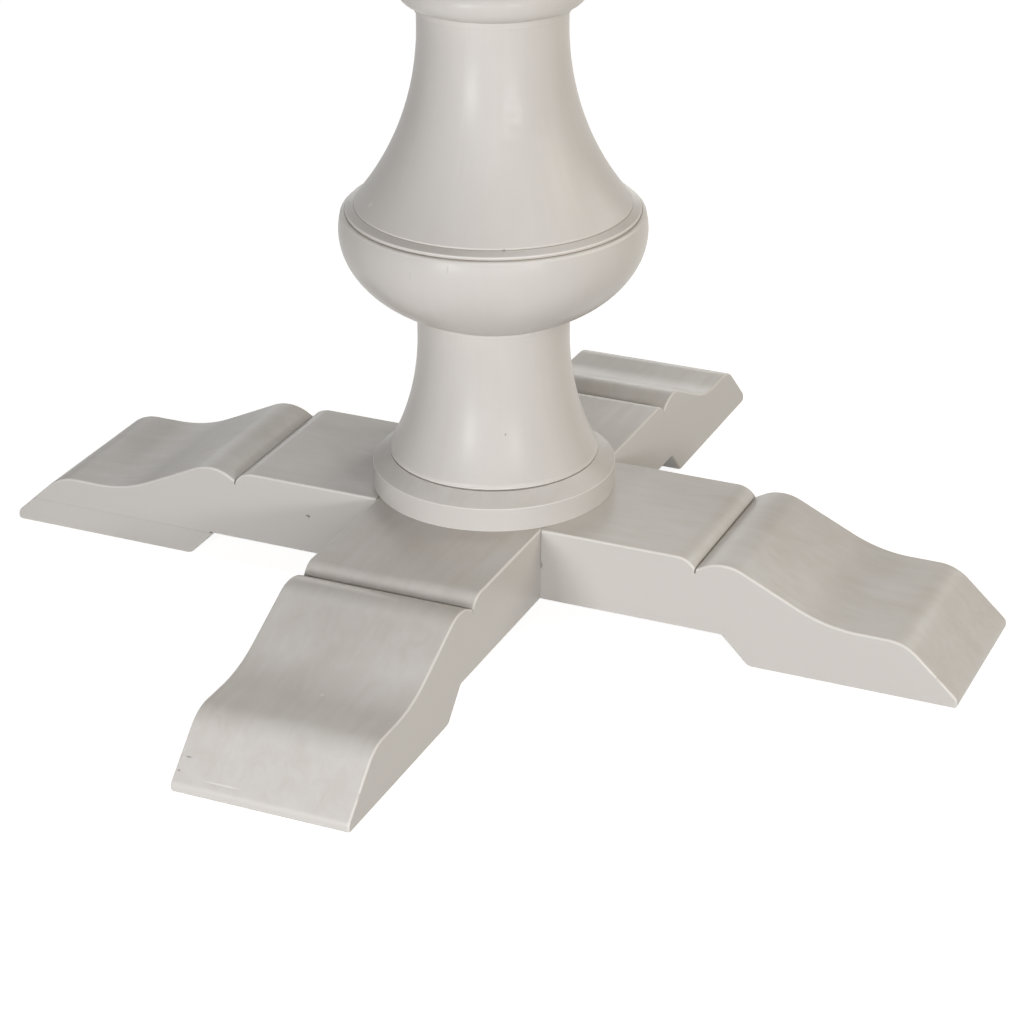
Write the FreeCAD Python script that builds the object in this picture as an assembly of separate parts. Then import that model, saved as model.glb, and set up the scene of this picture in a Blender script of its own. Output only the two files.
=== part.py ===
import FreeCAD, Part
import math
import os

from FreeCAD import Vector

# A pedestal table base: a turned wooden column on a cross of two half-lapped floor beams.
# Sizes in millimetres, angles in degrees. +Z is up, the floor is at zero and the column's axis is Z.
# The lower beam runs along X and the upper beam along Y.

BASE_HEIGHT = 720.0         # from the floor to the underside of a table top

# Floor beams and the pads glued under their ends
ARM_REACH = 433.0           # from the column's axis to the tip of a toe
ARM_WIDTH = 150.0
BEAM_DEPTH = 64.0
PAD_THICKNESS = 24.0
PAD_LENGTH = 175.0          # from the tip of the toe to the heel, along the floor
HEEL_ANGLE = 45.0           # slope of the pad's inner end
HEEL_RADIUS = 8.0
UNDERCUT_RADIUS = 3.0       # inner corner between a pad and the underside of its beam
ARRIS_RADIUS = 2.0          # softened edges along both sides of a beam

# Outline of a foot, from the toe up to the flat of the arm
SOLE_RADIUS = 3.5           # where the toe turns under to the floor
TOE_HEIGHT = 8.0            # upright tip of the toe, before it is rounded
TOE_RADIUS = 7.0
TOE_ANGLE = 42.5            # slope of the toe above its tip
LEDGE_HEIGHT = 50.0         # level part behind the toe, above the floor
LEDGE_RUN = 65.5
NOSE_RADIUS = 38.0          # from the toe's slope to the ledge
OGEE_RUN = 89.0             # from the ledge to the crest
HOLLOW_RADIUS = 120.0
CREST_RADIUS = 36.0
CREST_RUN = 22.5            # from the crest back to the quirk
CREST_ANGLE = 30.0          # slope from the quirk up to the crest, before it is rounded
QUIRK_DEPTH = 9.0           # the V across the top of the arm, below its flat
QUIRK_RADIUS = 1.0
LIP_ANGLE = 54.0            # slope of the lip where it drops into the quirk
LIP_RADIUS = 19.5           # rounded end of the arm's flat

# Plinth disc between the cross and the column
PLINTH_DIAMETER = 205.5
PLINTH_HEIGHT = 30.0
PLINTH_BEVEL_HEIGHT = 9.5
PLINTH_BEVEL_WIDTH = 14.5
PLINTH_EDGE_RADIUS = 1.2

# Column, from its foot upwards
FOOT_DIAMETER = 180.0
FOOT_LIP_RADIUS = 3.5
LOWER_FLARE_HEIGHT = 104.0
LOWER_NECK_DIAMETER = 127.0
LOWER_NECK_HEIGHT = 22.0
COLLAR_STEP = 2.0           # small square fillets stand this far out of a neck
COLLAR_HEIGHT = 2.4
BULB_DIAMETER = 254.0
BULB_HALF_HEIGHT = 81.5     # half the height of the ellipse that the bulb follows
SHOULDER_RISE = 16.0        # from the bulb's widest point to its flat shoulder
SHOULDER_LEDGE = 3.4
SHOULDER_RADIUS = 3.2
BAND_WIDTH = 7.2            # sloping band between the shoulder and the upper flare
BAND_EDGE_HEIGHT = 2.6
BAND_RISE = 3.2
BAND_EDGE_RADIUS = 1.5
FLARE_LIP_HEIGHT = 1.5
FLARE_LIP_RADIUS = 0.7
UPPER_FLARE_HEIGHT = 147.0
UPPER_NECK_DIAMETER = 122.0
UPPER_NECK_HEIGHT = 13.5
RING_COLLAR_HEIGHT = 5.5
RING_RADIUS = 15.0          # half round that stands on the edge of its fillets

# Bearers under the table top
BEARER_LENGTH = 580.0
BEARER_WIDTH = 90.0
BEARER_DEPTH = 45.0
BEARER_TIP_DEPTH = 20.0     # the ends taper to this depth from below
BEARER_TAPER = 90.0
TOP_SCREW_REACH = 250.0     # table top screw holes, from the axis
TOP_SCREW_HOLE = 7.0
TOP_SCREW_POCKET = 16.0
TOP_SCREW_SEAT = 12.0       # wood left above a pocket

# Tie rod with its nuts and washers
ROD_DIAMETER = 10.0
ROD_CLEARANCE = 0.5         # on the radius, in the wood and in the washers
ROD_END = 3.0               # rod showing past a nut
ROD_RECESS = 2.0            # from the rod's end to the face of the wood
NUT_ACROSS_FLATS = 17.0
NUT_HEIGHT = 8.0
NUT_CHAMFER_ANGLE = 30.0
THREAD_CLEARANCE = 0.1
WASHER_DIAMETER = 30.0
WASHER_THICKNESS = 2.5
WASHER_CLEARANCE = 2.0      # around a washer in its pocket

# Dowels and screws
DOWEL_COUNT = 4
DOWEL_DIAMETER = 12.0
DOWEL_CIRCLE = 100.0        # diameter of the circle they stand on
DOWEL_IN_BEAM = 22.0
DOWEL_IN_COLUMN = 30.0
DOWEL_CHAMFER = 1.5
DOWEL_END_GAP = 1.0
BEARER_SCREW_COUNT = 4
BEARER_SCREW_CIRCLE = 80.0
BEARER_SCREW_DIAMETER = 6.0
BEARER_SCREW_HEAD = 12.0
BEARER_SCREW_LENGTH = 90.0
BEARER_SCREW_POINT = 8.0
HOLE_CLEARANCE = 0.1        # on the radius, around dowels and screws
FIRST_PLACE_ANGLE = 45.0    # the dowels and the bearer screws start midway between two arms
EDGE_MATCH = 0.01           # how near an edge lies to the place where it is looked for

# Heights and radii that follow from the sizes above
BEAM_TOP = PAD_THICKNESS + BEAM_DEPTH
LAP_HEIGHT = PAD_THICKNESS + BEAM_DEPTH / 2
PLINTH_TOP = BEAM_TOP + PLINTH_HEIGHT
LOWER_NECK_BOTTOM = PLINTH_TOP + LOWER_FLARE_HEIGHT
LOWER_NECK_TOP = LOWER_NECK_BOTTOM + LOWER_NECK_HEIGHT
BULB_BOTTOM = LOWER_NECK_TOP + COLLAR_HEIGHT
COLLAR_RADIUS = LOWER_NECK_DIAMETER / 2 + COLLAR_STEP
BULB_RADIUS = BULB_DIAMETER / 2
BULB_CENTRE = BULB_BOTTOM + BULB_HALF_HEIGHT * math.sqrt(1 - (COLLAR_RADIUS / BULB_RADIUS) ** 2)
SHOULDER = BULB_CENTRE + SHOULDER_RISE
SHOULDER_EDGE = BULB_RADIUS * math.sqrt(1 - (SHOULDER_RISE / BULB_HALF_HEIGHT) ** 2)
BAND_RADIUS = SHOULDER_EDGE - SHOULDER_LEDGE
BAND_EDGE_TOP = SHOULDER + BAND_EDGE_HEIGHT
BAND_TOP = BAND_EDGE_TOP + BAND_RISE
FLARE_RADIUS = BAND_RADIUS - BAND_WIDTH
FLARE_BOTTOM = BAND_TOP + FLARE_LIP_HEIGHT
UPPER_NECK_RADIUS = UPPER_NECK_DIAMETER / 2
UPPER_NECK_BOTTOM = FLARE_BOTTOM + UPPER_FLARE_HEIGHT
UPPER_NECK_TOP = UPPER_NECK_BOTTOM + UPPER_NECK_HEIGHT
RING_BOTTOM = UPPER_NECK_TOP + RING_COLLAR_HEIGHT
RING_TOP = RING_BOTTOM + 2 * RING_RADIUS
STEM_BOTTOM = RING_TOP + RING_COLLAR_HEIGHT
COLUMN_TOP = BASE_HEIGHT - BEARER_DEPTH
BEARER_LAP = COLUMN_TOP + BEARER_DEPTH / 2
ROD_RADIUS = ROD_DIAMETER / 2
ROD_BORE = ROD_RADIUS + ROD_CLEARANCE
ROD_BOTTOM = PAD_THICKNESS + ROD_RECESS
ROD_TOP = BASE_HEIGHT - ROD_RECESS
NUT_POCKET_DEPTH = ROD_RECESS + ROD_END + NUT_HEIGHT + WASHER_THICKNESS
NUT_POCKET_RADIUS = WASHER_DIAMETER / 2 + WASHER_CLEARANCE
LOWER_SEAT = PAD_THICKNESS + NUT_POCKET_DEPTH
UPPER_SEAT = BASE_HEIGHT - NUT_POCKET_DEPTH
DOWEL_BOTTOM = BEAM_TOP - DOWEL_IN_BEAM
DOWEL_TOP = PLINTH_TOP + DOWEL_IN_COLUMN


def at(reach, height):
    """A point in the plane of an outline: distance from the column's axis, and height."""
    return Vector(reach, 0, height)


def line(start, end):
    return Part.LineSegment(start, end).toShape()


def upright(radius, bottom, top, x=0.0, y=0.0):
    """An upright cylinder between two heights."""
    return Part.makeCylinder(radius, top - bottom, Vector(x, y, bottom))


def block(length, width, bottom, top):
    """A box centred on the column's axis, between two heights."""
    return Part.makeBox(length, width, top - bottom, Vector(-length / 2, -width / 2, bottom))


def around(count, circle):
    """Places evenly spaced on a circle about the axis."""
    for index in range(count):
        angle = math.radians(FIRST_PLACE_ANGLE + index * 360.0 / count)
        yield circle / 2 * math.cos(angle), circle / 2 * math.sin(angle)


def turned(edges):
    """A turning: the closed outline of edges, swept about the column's axis."""
    face = Part.Face(Part.Wire(Part.__sortEdges__(edges)))
    return face.revolve(Vector(0, 0, 0), Vector(0, 0, 1), 360)


def soften_rings(solid, rings, radius):
    """Round the circular edges at each (radius, height) of a turning."""
    edges = []
    for ring_radius, height in rings:
        for edge in solid.Edges:
            circle = edge.Curve
            if not isinstance(circle, Part.Circle):
                continue
            off_radius = abs(circle.Radius - ring_radius)
            off_height = abs(circle.Center.z - height)
            if max(off_radius, off_height) < EDGE_MATCH:
                edges.append(edge)
    return solid.makeFillet(radius, edges)


def corner_arc(before, corner, after, radius):
    """Start, middle and end of the arc that rounds a corner between two straight lines."""
    back = (before - corner).normalize()
    forth = (after - corner).normalize()
    half_angle = back.getAngle(forth) / 2
    tangent = radius / math.tan(half_angle)
    inward = (back + forth).normalize()
    middle = corner + inward * (radius / math.sin(half_angle) - radius)
    return corner + back * tangent, middle, corner + forth * tangent


def rounded_outline(corners):
    """A closed wire through (point, radius) corners, with every corner rounded."""
    arcs = []
    for index, (corner, radius) in enumerate(corners):
        before = corners[index - 1][0]
        after = corners[(index + 1) % len(corners)][0]
        arcs.append(corner_arc(before, corner, after, radius))
    edges = []
    for arc, next_arc in zip(arcs, arcs[1:] + arcs[:1]):
        edges.append(Part.Arc(*arc).toShape())
        edges.append(line(arc[2], next_arc[0]))
    return Part.Wire(edges)


def foot_corners():
    """Corners of one end of a beam with its pad, from the undercut round the toe to the flat."""
    heel = ARM_REACH - PAD_LENGTH
    undercut = heel - PAD_THICKNESS / math.tan(math.radians(HEEL_ANGLE))
    nose = ARM_REACH - (LEDGE_HEIGHT - TOE_HEIGHT) / math.tan(math.radians(TOE_ANGLE))
    hollow = nose - LEDGE_RUN
    crest = hollow - OGEE_RUN
    quirk = crest - CREST_RUN
    quirk_bottom = BEAM_TOP - QUIRK_DEPTH
    crest_height = quirk_bottom + CREST_RUN * math.tan(math.radians(CREST_ANGLE))
    lip = quirk - QUIRK_DEPTH / math.tan(math.radians(LIP_ANGLE))
    return [
        (at(undercut, PAD_THICKNESS), UNDERCUT_RADIUS),
        (at(heel, 0), HEEL_RADIUS),
        (at(ARM_REACH, 0), SOLE_RADIUS),
        (at(ARM_REACH, TOE_HEIGHT), TOE_RADIUS),
        (at(nose, LEDGE_HEIGHT), NOSE_RADIUS),
        (at(hollow, LEDGE_HEIGHT), HOLLOW_RADIUS),
        (at(crest, crest_height), CREST_RADIUS),
        (at(quirk, quirk_bottom), QUIRK_RADIUS),
        (at(lip, BEAM_TOP), LIP_RADIUS),
    ]


def shaped_beam():
    """A beam along X with both pads still on it, sawn to its outline and softened at its sides."""
    one_end = foot_corners()
    other_end = [(at(-corner.x, corner.z), radius) for corner, radius in reversed(one_end)]
    face = Part.Face(rounded_outline(one_end + other_end))
    face.translate(Vector(0, -ARM_WIDTH / 2, 0))
    beam = face.extrude(Vector(0, ARM_WIDTH, 0))
    side_edges = [edge for edge in beam.Edges if edge.BoundBox.YLength < ARRIS_RADIUS / 2]
    return beam.makeFillet(ARRIS_RADIUS, side_edges)


def turn_quarter(solid):
    """A copy turned from the X direction to the Y direction."""
    turned_copy = solid.copy()
    turned_copy.rotate(Vector(0, 0, 0), Vector(0, 0, 1), 90)
    return turned_copy


def lower_beam():
    """The left to right beam, notched from above, with a pocket for the tie rod's nut."""
    beam = shaped_beam().common(block(2 * ARM_REACH, ARM_WIDTH, PAD_THICKNESS, BEAM_TOP))
    beam = beam.cut(block(ARM_WIDTH, ARM_WIDTH, LAP_HEIGHT, BEAM_TOP))
    beam = beam.cut(upright(ROD_BORE, PAD_THICKNESS, LAP_HEIGHT))
    return beam.cut(upright(NUT_POCKET_RADIUS, PAD_THICKNESS, LOWER_SEAT))


def upper_beam():
    """The front to back beam, notched from below, with holes for the rod and the dowels."""
    beam = shaped_beam().common(block(2 * ARM_REACH, ARM_WIDTH, PAD_THICKNESS, BEAM_TOP))
    beam = beam.cut(block(ARM_WIDTH, ARM_WIDTH, PAD_THICKNESS, LAP_HEIGHT))
    beam = turn_quarter(beam).cut(upright(ROD_BORE, LAP_HEIGHT, BEAM_TOP))
    return beam.cut(dowel_holes(DOWEL_BOTTOM, BEAM_TOP))


def foot_pads():
    """The two pads under a beam along X, the one at the far end first."""
    pads = shaped_beam().common(block(2 * ARM_REACH, ARM_WIDTH, 0, PAD_THICKNESS))
    return sorted(pads.Solids, key=lambda pad: -pad.CenterOfMass.x)


def dowel_holes(bottom, top):
    radius = DOWEL_DIAMETER / 2 + HOLE_CLEARANCE
    places = around(DOWEL_COUNT, DOWEL_CIRCLE)
    return Part.makeCompound([upright(radius, bottom, top, x, y) for x, y in places])


def plinth_disc():
    """The round plate that the column stands on, with a bevelled top edge."""
    outer = PLINTH_DIAMETER / 2
    inner = outer - PLINTH_BEVEL_WIDTH
    arris = PLINTH_TOP - PLINTH_BEVEL_HEIGHT
    corners = [
        at(ROD_BORE, BEAM_TOP),
        at(outer, BEAM_TOP),
        at(outer, arris),
        at(inner, PLINTH_TOP),
        at(ROD_BORE, PLINTH_TOP),
    ]
    disc = turned([line(corner, corners[index - 1]) for index, corner in enumerate(corners)])
    disc = soften_rings(disc, [(outer, BEAM_TOP), (outer, arris)], PLINTH_EDGE_RADIUS)
    return disc.cut(dowel_holes(BEAM_TOP, PLINTH_TOP))


def flare(foot, neck):
    """An arc that leaves a neck upright and opens out to the foot below it."""
    spread = foot.x - neck.x
    drop = neck.z - foot.z
    radius = (spread ** 2 + drop ** 2) / (2 * spread)
    half_sweep = math.asin(drop / radius) / 2
    middle = at(neck.x + radius * (1 - math.cos(half_sweep)), neck.z - radius * math.sin(half_sweep))
    return Part.Arc(foot, middle, neck).toShape()


def bulb_side(bottom, top):
    """The part of the bulb's ellipse between two points on it."""
    widest = at(BULB_RADIUS, BULB_CENTRE)
    pole = at(0, BULB_CENTRE + BULB_HALF_HEIGHT)
    centre = at(0, BULB_CENTRE)
    ellipse = Part.Ellipse(widest, pole, centre)
    return Part.ArcOfEllipse(ellipse, ellipse.parameter(bottom), ellipse.parameter(top)).toShape()


def ring_side(bottom, top):
    """The half round of the upper ring between two points above one another."""
    middle = at(bottom.x + RING_RADIUS, (bottom.z + top.z) / 2)
    return Part.Arc(bottom, middle, top).toShape()


def column_edges():
    """Half of the column's section: up its outside from the foot, and down its bore."""
    lower_neck = LOWER_NECK_DIAMETER / 2
    ring_collar = UPPER_NECK_RADIUS + COLLAR_STEP
    foot = at(FOOT_DIAMETER / 2, PLINTH_TOP)
    neck_bottom = at(lower_neck, LOWER_NECK_BOTTOM)
    bulb_bottom = at(COLLAR_RADIUS, BULB_BOTTOM)
    shoulder_edge = at(SHOULDER_EDGE, SHOULDER)
    flare_bottom = at(FLARE_RADIUS, FLARE_BOTTOM)
    upper_neck_bottom = at(UPPER_NECK_RADIUS, UPPER_NECK_BOTTOM)
    ring_bottom = at(ring_collar, RING_BOTTOM)
    ring_top = at(ring_collar, RING_TOP)
    straight_runs = [
        [
            neck_bottom,
            at(lower_neck, LOWER_NECK_TOP),
            at(COLLAR_RADIUS, LOWER_NECK_TOP),
            bulb_bottom,
        ],
        [
            shoulder_edge,
            at(BAND_RADIUS, SHOULDER),
            at(BAND_RADIUS, BAND_EDGE_TOP),
            at(FLARE_RADIUS, BAND_TOP),
            flare_bottom,
        ],
        [
            upper_neck_bottom,
            at(UPPER_NECK_RADIUS, UPPER_NECK_TOP),
            at(ring_collar, UPPER_NECK_TOP),
            ring_bottom,
        ],
        [
            ring_top,
            at(ring_collar, STEM_BOTTOM),
            at(UPPER_NECK_RADIUS, STEM_BOTTOM),
            at(UPPER_NECK_RADIUS, COLUMN_TOP),
            at(ROD_BORE, COLUMN_TOP),
            at(ROD_BORE, PLINTH_TOP),
            foot,
        ],
    ]
    edges = [
        flare(foot, neck_bottom),
        bulb_side(bulb_bottom, shoulder_edge),
        flare(flare_bottom, upper_neck_bottom),
        ring_side(ring_bottom, ring_top),
    ]
    for run in straight_runs:
        edges += [line(start, end) for start, end in zip(run, run[1:])]
    return edges


def column():
    """The turned column in one piece, bored for the tie rod, the dowels and the bearer screws."""
    post = turned(column_edges())
    post = soften_rings(post, [(FOOT_DIAMETER / 2, PLINTH_TOP)], FOOT_LIP_RADIUS)
    post = soften_rings(post, [(SHOULDER_EDGE, SHOULDER)], SHOULDER_RADIUS)
    post = soften_rings(post, [(BAND_RADIUS, BAND_EDGE_TOP)], BAND_EDGE_RADIUS)
    post = soften_rings(post, [(FLARE_RADIUS, FLARE_BOTTOM)], FLARE_LIP_RADIUS)
    post = post.cut(dowel_holes(PLINTH_TOP, DOWEL_TOP + DOWEL_END_GAP))
    return post.cut(bearer_screw_holes())


def plain_bearer():
    """A bearer along X, tapered from below at both ends and drilled for the table top."""
    half = BEARER_LENGTH / 2
    tip = BASE_HEIGHT - BEARER_TIP_DEPTH
    corners = [
        at(half, BASE_HEIGHT),
        at(-half, BASE_HEIGHT),
        at(-half, tip),
        at(BEARER_TAPER - half, COLUMN_TOP),
        at(half - BEARER_TAPER, COLUMN_TOP),
        at(half, tip),
    ]
    face = Part.Face(Part.makePolygon(corners + corners[:1]))
    face.translate(Vector(0, -BEARER_WIDTH / 2, 0))
    bearer = face.extrude(Vector(0, BEARER_WIDTH, 0))
    pocket_top = BASE_HEIGHT - TOP_SCREW_SEAT
    for x in (-TOP_SCREW_REACH, TOP_SCREW_REACH):
        bearer = bearer.cut(upright(TOP_SCREW_HOLE / 2, COLUMN_TOP, BASE_HEIGHT, x))
        bearer = bearer.cut(upright(TOP_SCREW_POCKET / 2, COLUMN_TOP, pocket_top, x))
    return bearer


def fitted_bearer(bearer):
    """A bearer bored for the tie rod, its nut pocket and the screws into the column."""
    bearer = bearer.cut(upright(ROD_BORE, COLUMN_TOP, BASE_HEIGHT))
    bearer = bearer.cut(upright(NUT_POCKET_RADIUS, UPPER_SEAT, BASE_HEIGHT))
    return bearer.cut(bearer_screw_holes())


def lower_bearer():
    notch = block(BEARER_WIDTH, BEARER_WIDTH, BEARER_LAP, BASE_HEIGHT)
    return fitted_bearer(plain_bearer().cut(notch))


def upper_bearer():
    notch = block(BEARER_WIDTH, BEARER_WIDTH, COLUMN_TOP, BEARER_LAP)
    return fitted_bearer(turn_quarter(plain_bearer().cut(notch)))


def countersunk_screw(clearance=0.0):
    """A countersunk screw on the axis, its head level with the bearers' top."""
    shank = BEARER_SCREW_DIAMETER / 2 + clearance
    head = BEARER_SCREW_HEAD / 2 + clearance
    neck = BASE_HEIGHT - (head - shank)
    tip = BASE_HEIGHT - BEARER_SCREW_LENGTH - clearance
    shoulder = tip + BEARER_SCREW_POINT
    corners = [at(0, BASE_HEIGHT), at(head, BASE_HEIGHT), at(shank, neck), at(shank, shoulder), at(0, tip)]
    return turned([line(corner, corners[index - 1]) for index, corner in enumerate(corners)])


def bearer_screws(clearance=0.0):
    screws = []
    for x, y in around(BEARER_SCREW_COUNT, BEARER_SCREW_CIRCLE):
        screw = countersunk_screw(clearance)
        screw.translate(Vector(x, y, 0))
        screws.append(screw)
    return Part.makeCompound(screws)


def bearer_screw_holes():
    return bearer_screws(HOLE_CLEARANCE)


def tie_rod():
    return upright(ROD_RADIUS, ROD_BOTTOM, ROD_TOP)


def tie_rod_washers():
    washers = []
    for bottom in (LOWER_SEAT - WASHER_THICKNESS, UPPER_SEAT):
        washer = upright(WASHER_DIAMETER / 2, bottom, bottom + WASHER_THICKNESS)
        washers.append(washer.cut(upright(ROD_BORE, bottom, bottom + WASHER_THICKNESS)))
    return Part.makeCompound(washers)


def hexagon_nut(bottom):
    """A hexagon nut around the rod, with its corners turned off at both faces."""
    sides = 6
    corner_radius = NUT_ACROSS_FLATS / 2 / math.cos(math.pi / sides)
    points = []
    for side in range(sides):
        angle = 2 * math.pi * side / sides
        points.append(Vector(corner_radius * math.cos(angle), corner_radius * math.sin(angle), bottom))
    top = bottom + NUT_HEIGHT
    hexagon = Part.Face(Part.makePolygon(points + points[:1])).extrude(Vector(0, 0, NUT_HEIGHT))
    flat = NUT_ACROSS_FLATS / 2
    fall = (corner_radius - flat) * math.tan(math.radians(NUT_CHAMFER_ANGLE))
    hole = ROD_RADIUS + THREAD_CLEARANCE
    corners = [
        at(hole, bottom),
        at(flat, bottom),
        at(corner_radius, bottom + fall),
        at(corner_radius, top - fall),
        at(flat, top),
        at(hole, top),
    ]
    chamfered = turned([line(corner, corners[index - 1]) for index, corner in enumerate(corners)])
    return hexagon.common(chamfered)


def tie_rod_nuts():
    lower = LOWER_SEAT - WASHER_THICKNESS - NUT_HEIGHT
    upper = UPPER_SEAT + WASHER_THICKNESS
    return Part.makeCompound([hexagon_nut(lower), hexagon_nut(upper)])


def locating_dowels():
    """Dowels through the plinth disc, standing in the upper beam and reaching into the column."""
    dowels = []
    for x, y in around(DOWEL_COUNT, DOWEL_CIRCLE):
        dowel = upright(DOWEL_DIAMETER / 2, DOWEL_BOTTOM, DOWEL_TOP, x, y)
        ends = [edge for edge in dowel.Edges if edge.BoundBox.ZLength < DOWEL_CHAMFER]
        dowels.append(dowel.makeChamfer(DOWEL_CHAMFER, ends))
    return Part.makeCompound(dowels)


def pieces():
    """Every piece of the base, by name."""
    right_pad, left_pad = foot_pads()
    return {
        "lower_beam": lower_beam(),
        "upper_beam": upper_beam(),
        "foot_pad_right": right_pad,
        "foot_pad_left": left_pad,
        "foot_pad_back": turn_quarter(right_pad),
        "foot_pad_front": turn_quarter(left_pad),
        "plinth_disc": plinth_disc(),
        "column": column(),
        "lower_bearer": lower_bearer(),
        "upper_bearer": upper_bearer(),
        "tie_rod": tie_rod(),
        "tie_rod_nuts": tie_rod_nuts(),
        "tie_rod_washers": tie_rod_washers(),
        "locating_dowels": locating_dowels(),
        "bearer_screws": bearer_screws(),
    }


os.makedirs("parts", exist_ok=True)
for name, shape in pieces().items():
    shape.exportStep(os.path.join("parts", name + ".step"))
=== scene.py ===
import math

import bpy
from bpy.props import FloatProperty, FloatVectorProperty, PointerProperty
from mathutils import Matrix, Vector, noise


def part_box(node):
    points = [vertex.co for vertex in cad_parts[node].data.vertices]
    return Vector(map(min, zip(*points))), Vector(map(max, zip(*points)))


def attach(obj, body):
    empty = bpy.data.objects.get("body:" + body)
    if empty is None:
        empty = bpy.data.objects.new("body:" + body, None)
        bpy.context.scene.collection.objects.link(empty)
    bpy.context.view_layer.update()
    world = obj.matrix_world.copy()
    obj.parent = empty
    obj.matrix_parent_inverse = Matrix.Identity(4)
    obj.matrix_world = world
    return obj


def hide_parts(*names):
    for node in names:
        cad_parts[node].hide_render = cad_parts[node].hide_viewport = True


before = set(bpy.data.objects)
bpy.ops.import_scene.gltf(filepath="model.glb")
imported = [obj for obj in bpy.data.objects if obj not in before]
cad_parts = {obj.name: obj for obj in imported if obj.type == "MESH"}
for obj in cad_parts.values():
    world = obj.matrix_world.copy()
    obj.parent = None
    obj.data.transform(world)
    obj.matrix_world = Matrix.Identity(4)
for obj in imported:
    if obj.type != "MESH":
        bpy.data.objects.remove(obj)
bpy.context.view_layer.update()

bl_info = {
    "name": "Pedestal table base",
    "version": (1, 0, 0),
    "blender": (4, 5, 0),
    "location": "3D View > Sidebar > Table Base",
    "description": "A painted wooden table base: turned column, ogee-ended floor beams and bearers",
    "category": "Add Mesh",
}

# Metres throughout, in the frame of the solids: the floor is at zero and the column's axis is Z.
BODY = "root"
ARMS = 4
pad_low, pad_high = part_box("foot_pad_right")
plinth_low, plinth_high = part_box("plinth_disc")
column_low, column_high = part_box("column")
bearer_low, bearer_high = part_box("lower_bearer")
rod_low, rod_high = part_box("tie_rod")
washer_low, washer_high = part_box("tie_rod_washers")
screw_low, screw_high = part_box("bearer_screws")
dowel_low, dowel_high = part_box("locating_dowels")

# How fine the meshes are
RUN_STEP = 0.008            # longest step along a straight run
ARC_STEP = 0.002            # longest step along a round stretch
ARC_TURN = math.radians(9)  # most that one step of a round stretch turns
ARC_FEWEST = 3              # fewest steps in a round stretch
EASE_STEPS = 4              # steps in a small rounded crease
ARRIS_STEPS = 5             # steps across a softened arris
BOARD_STEP = 0.010          # longest step across the width of a board
TURNING_STEPS = 200         # steps round a turning
ROUND_STEPS = 48            # steps round a bore, a rod or a screw
THREAD_ROWS = 6             # rows of points in one turn of a thread
CREASE_ANGLE = math.radians(38)  # edges that turn more than this are shaded sharp
OVERCUT = 0.004             # how far a cutter reaches past the wood
BLUNT_RADIUS = 0.008        # edges and creases rounder than this keep the paint's plain colour
SHARP_RADIUS = 0.002        # edges sharper than this are painted paler, as rubbed wear and a highlight; creases, darker, as shade


def linear(hex_code):
    """An sRGB hex colour as linear red, green, blue and alpha."""
    channels = [int(hex_code[place:place + 2], 16) / 255 for place in (1, 3, 5)]
    light = [c / 12.92 if c <= 0.04045 else ((c + 0.055) / 1.055) ** 2.4 for c in channels]
    return (*light, 1.0)


def length(name, description, metres):
    """A length that a user may change."""
    return FloatProperty(name=name, description=description, default=metres, precision=5, unit="LENGTH")


def angle(name, description, degrees):
    """An angle that a user may change."""
    return FloatProperty(name=name, description=description, default=math.radians(degrees), subtype="ANGLE")


def number(name, description, amount):
    """A plain number that a user may change."""
    return FloatProperty(name=name, description=description, default=amount, precision=4)


def colour(name, description, hex_code):
    """A colour that a user may change."""
    return FloatVectorProperty(
        name=name, description=description, default=linear(hex_code), size=4, min=0, max=1, subtype="COLOR"
    )


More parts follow.
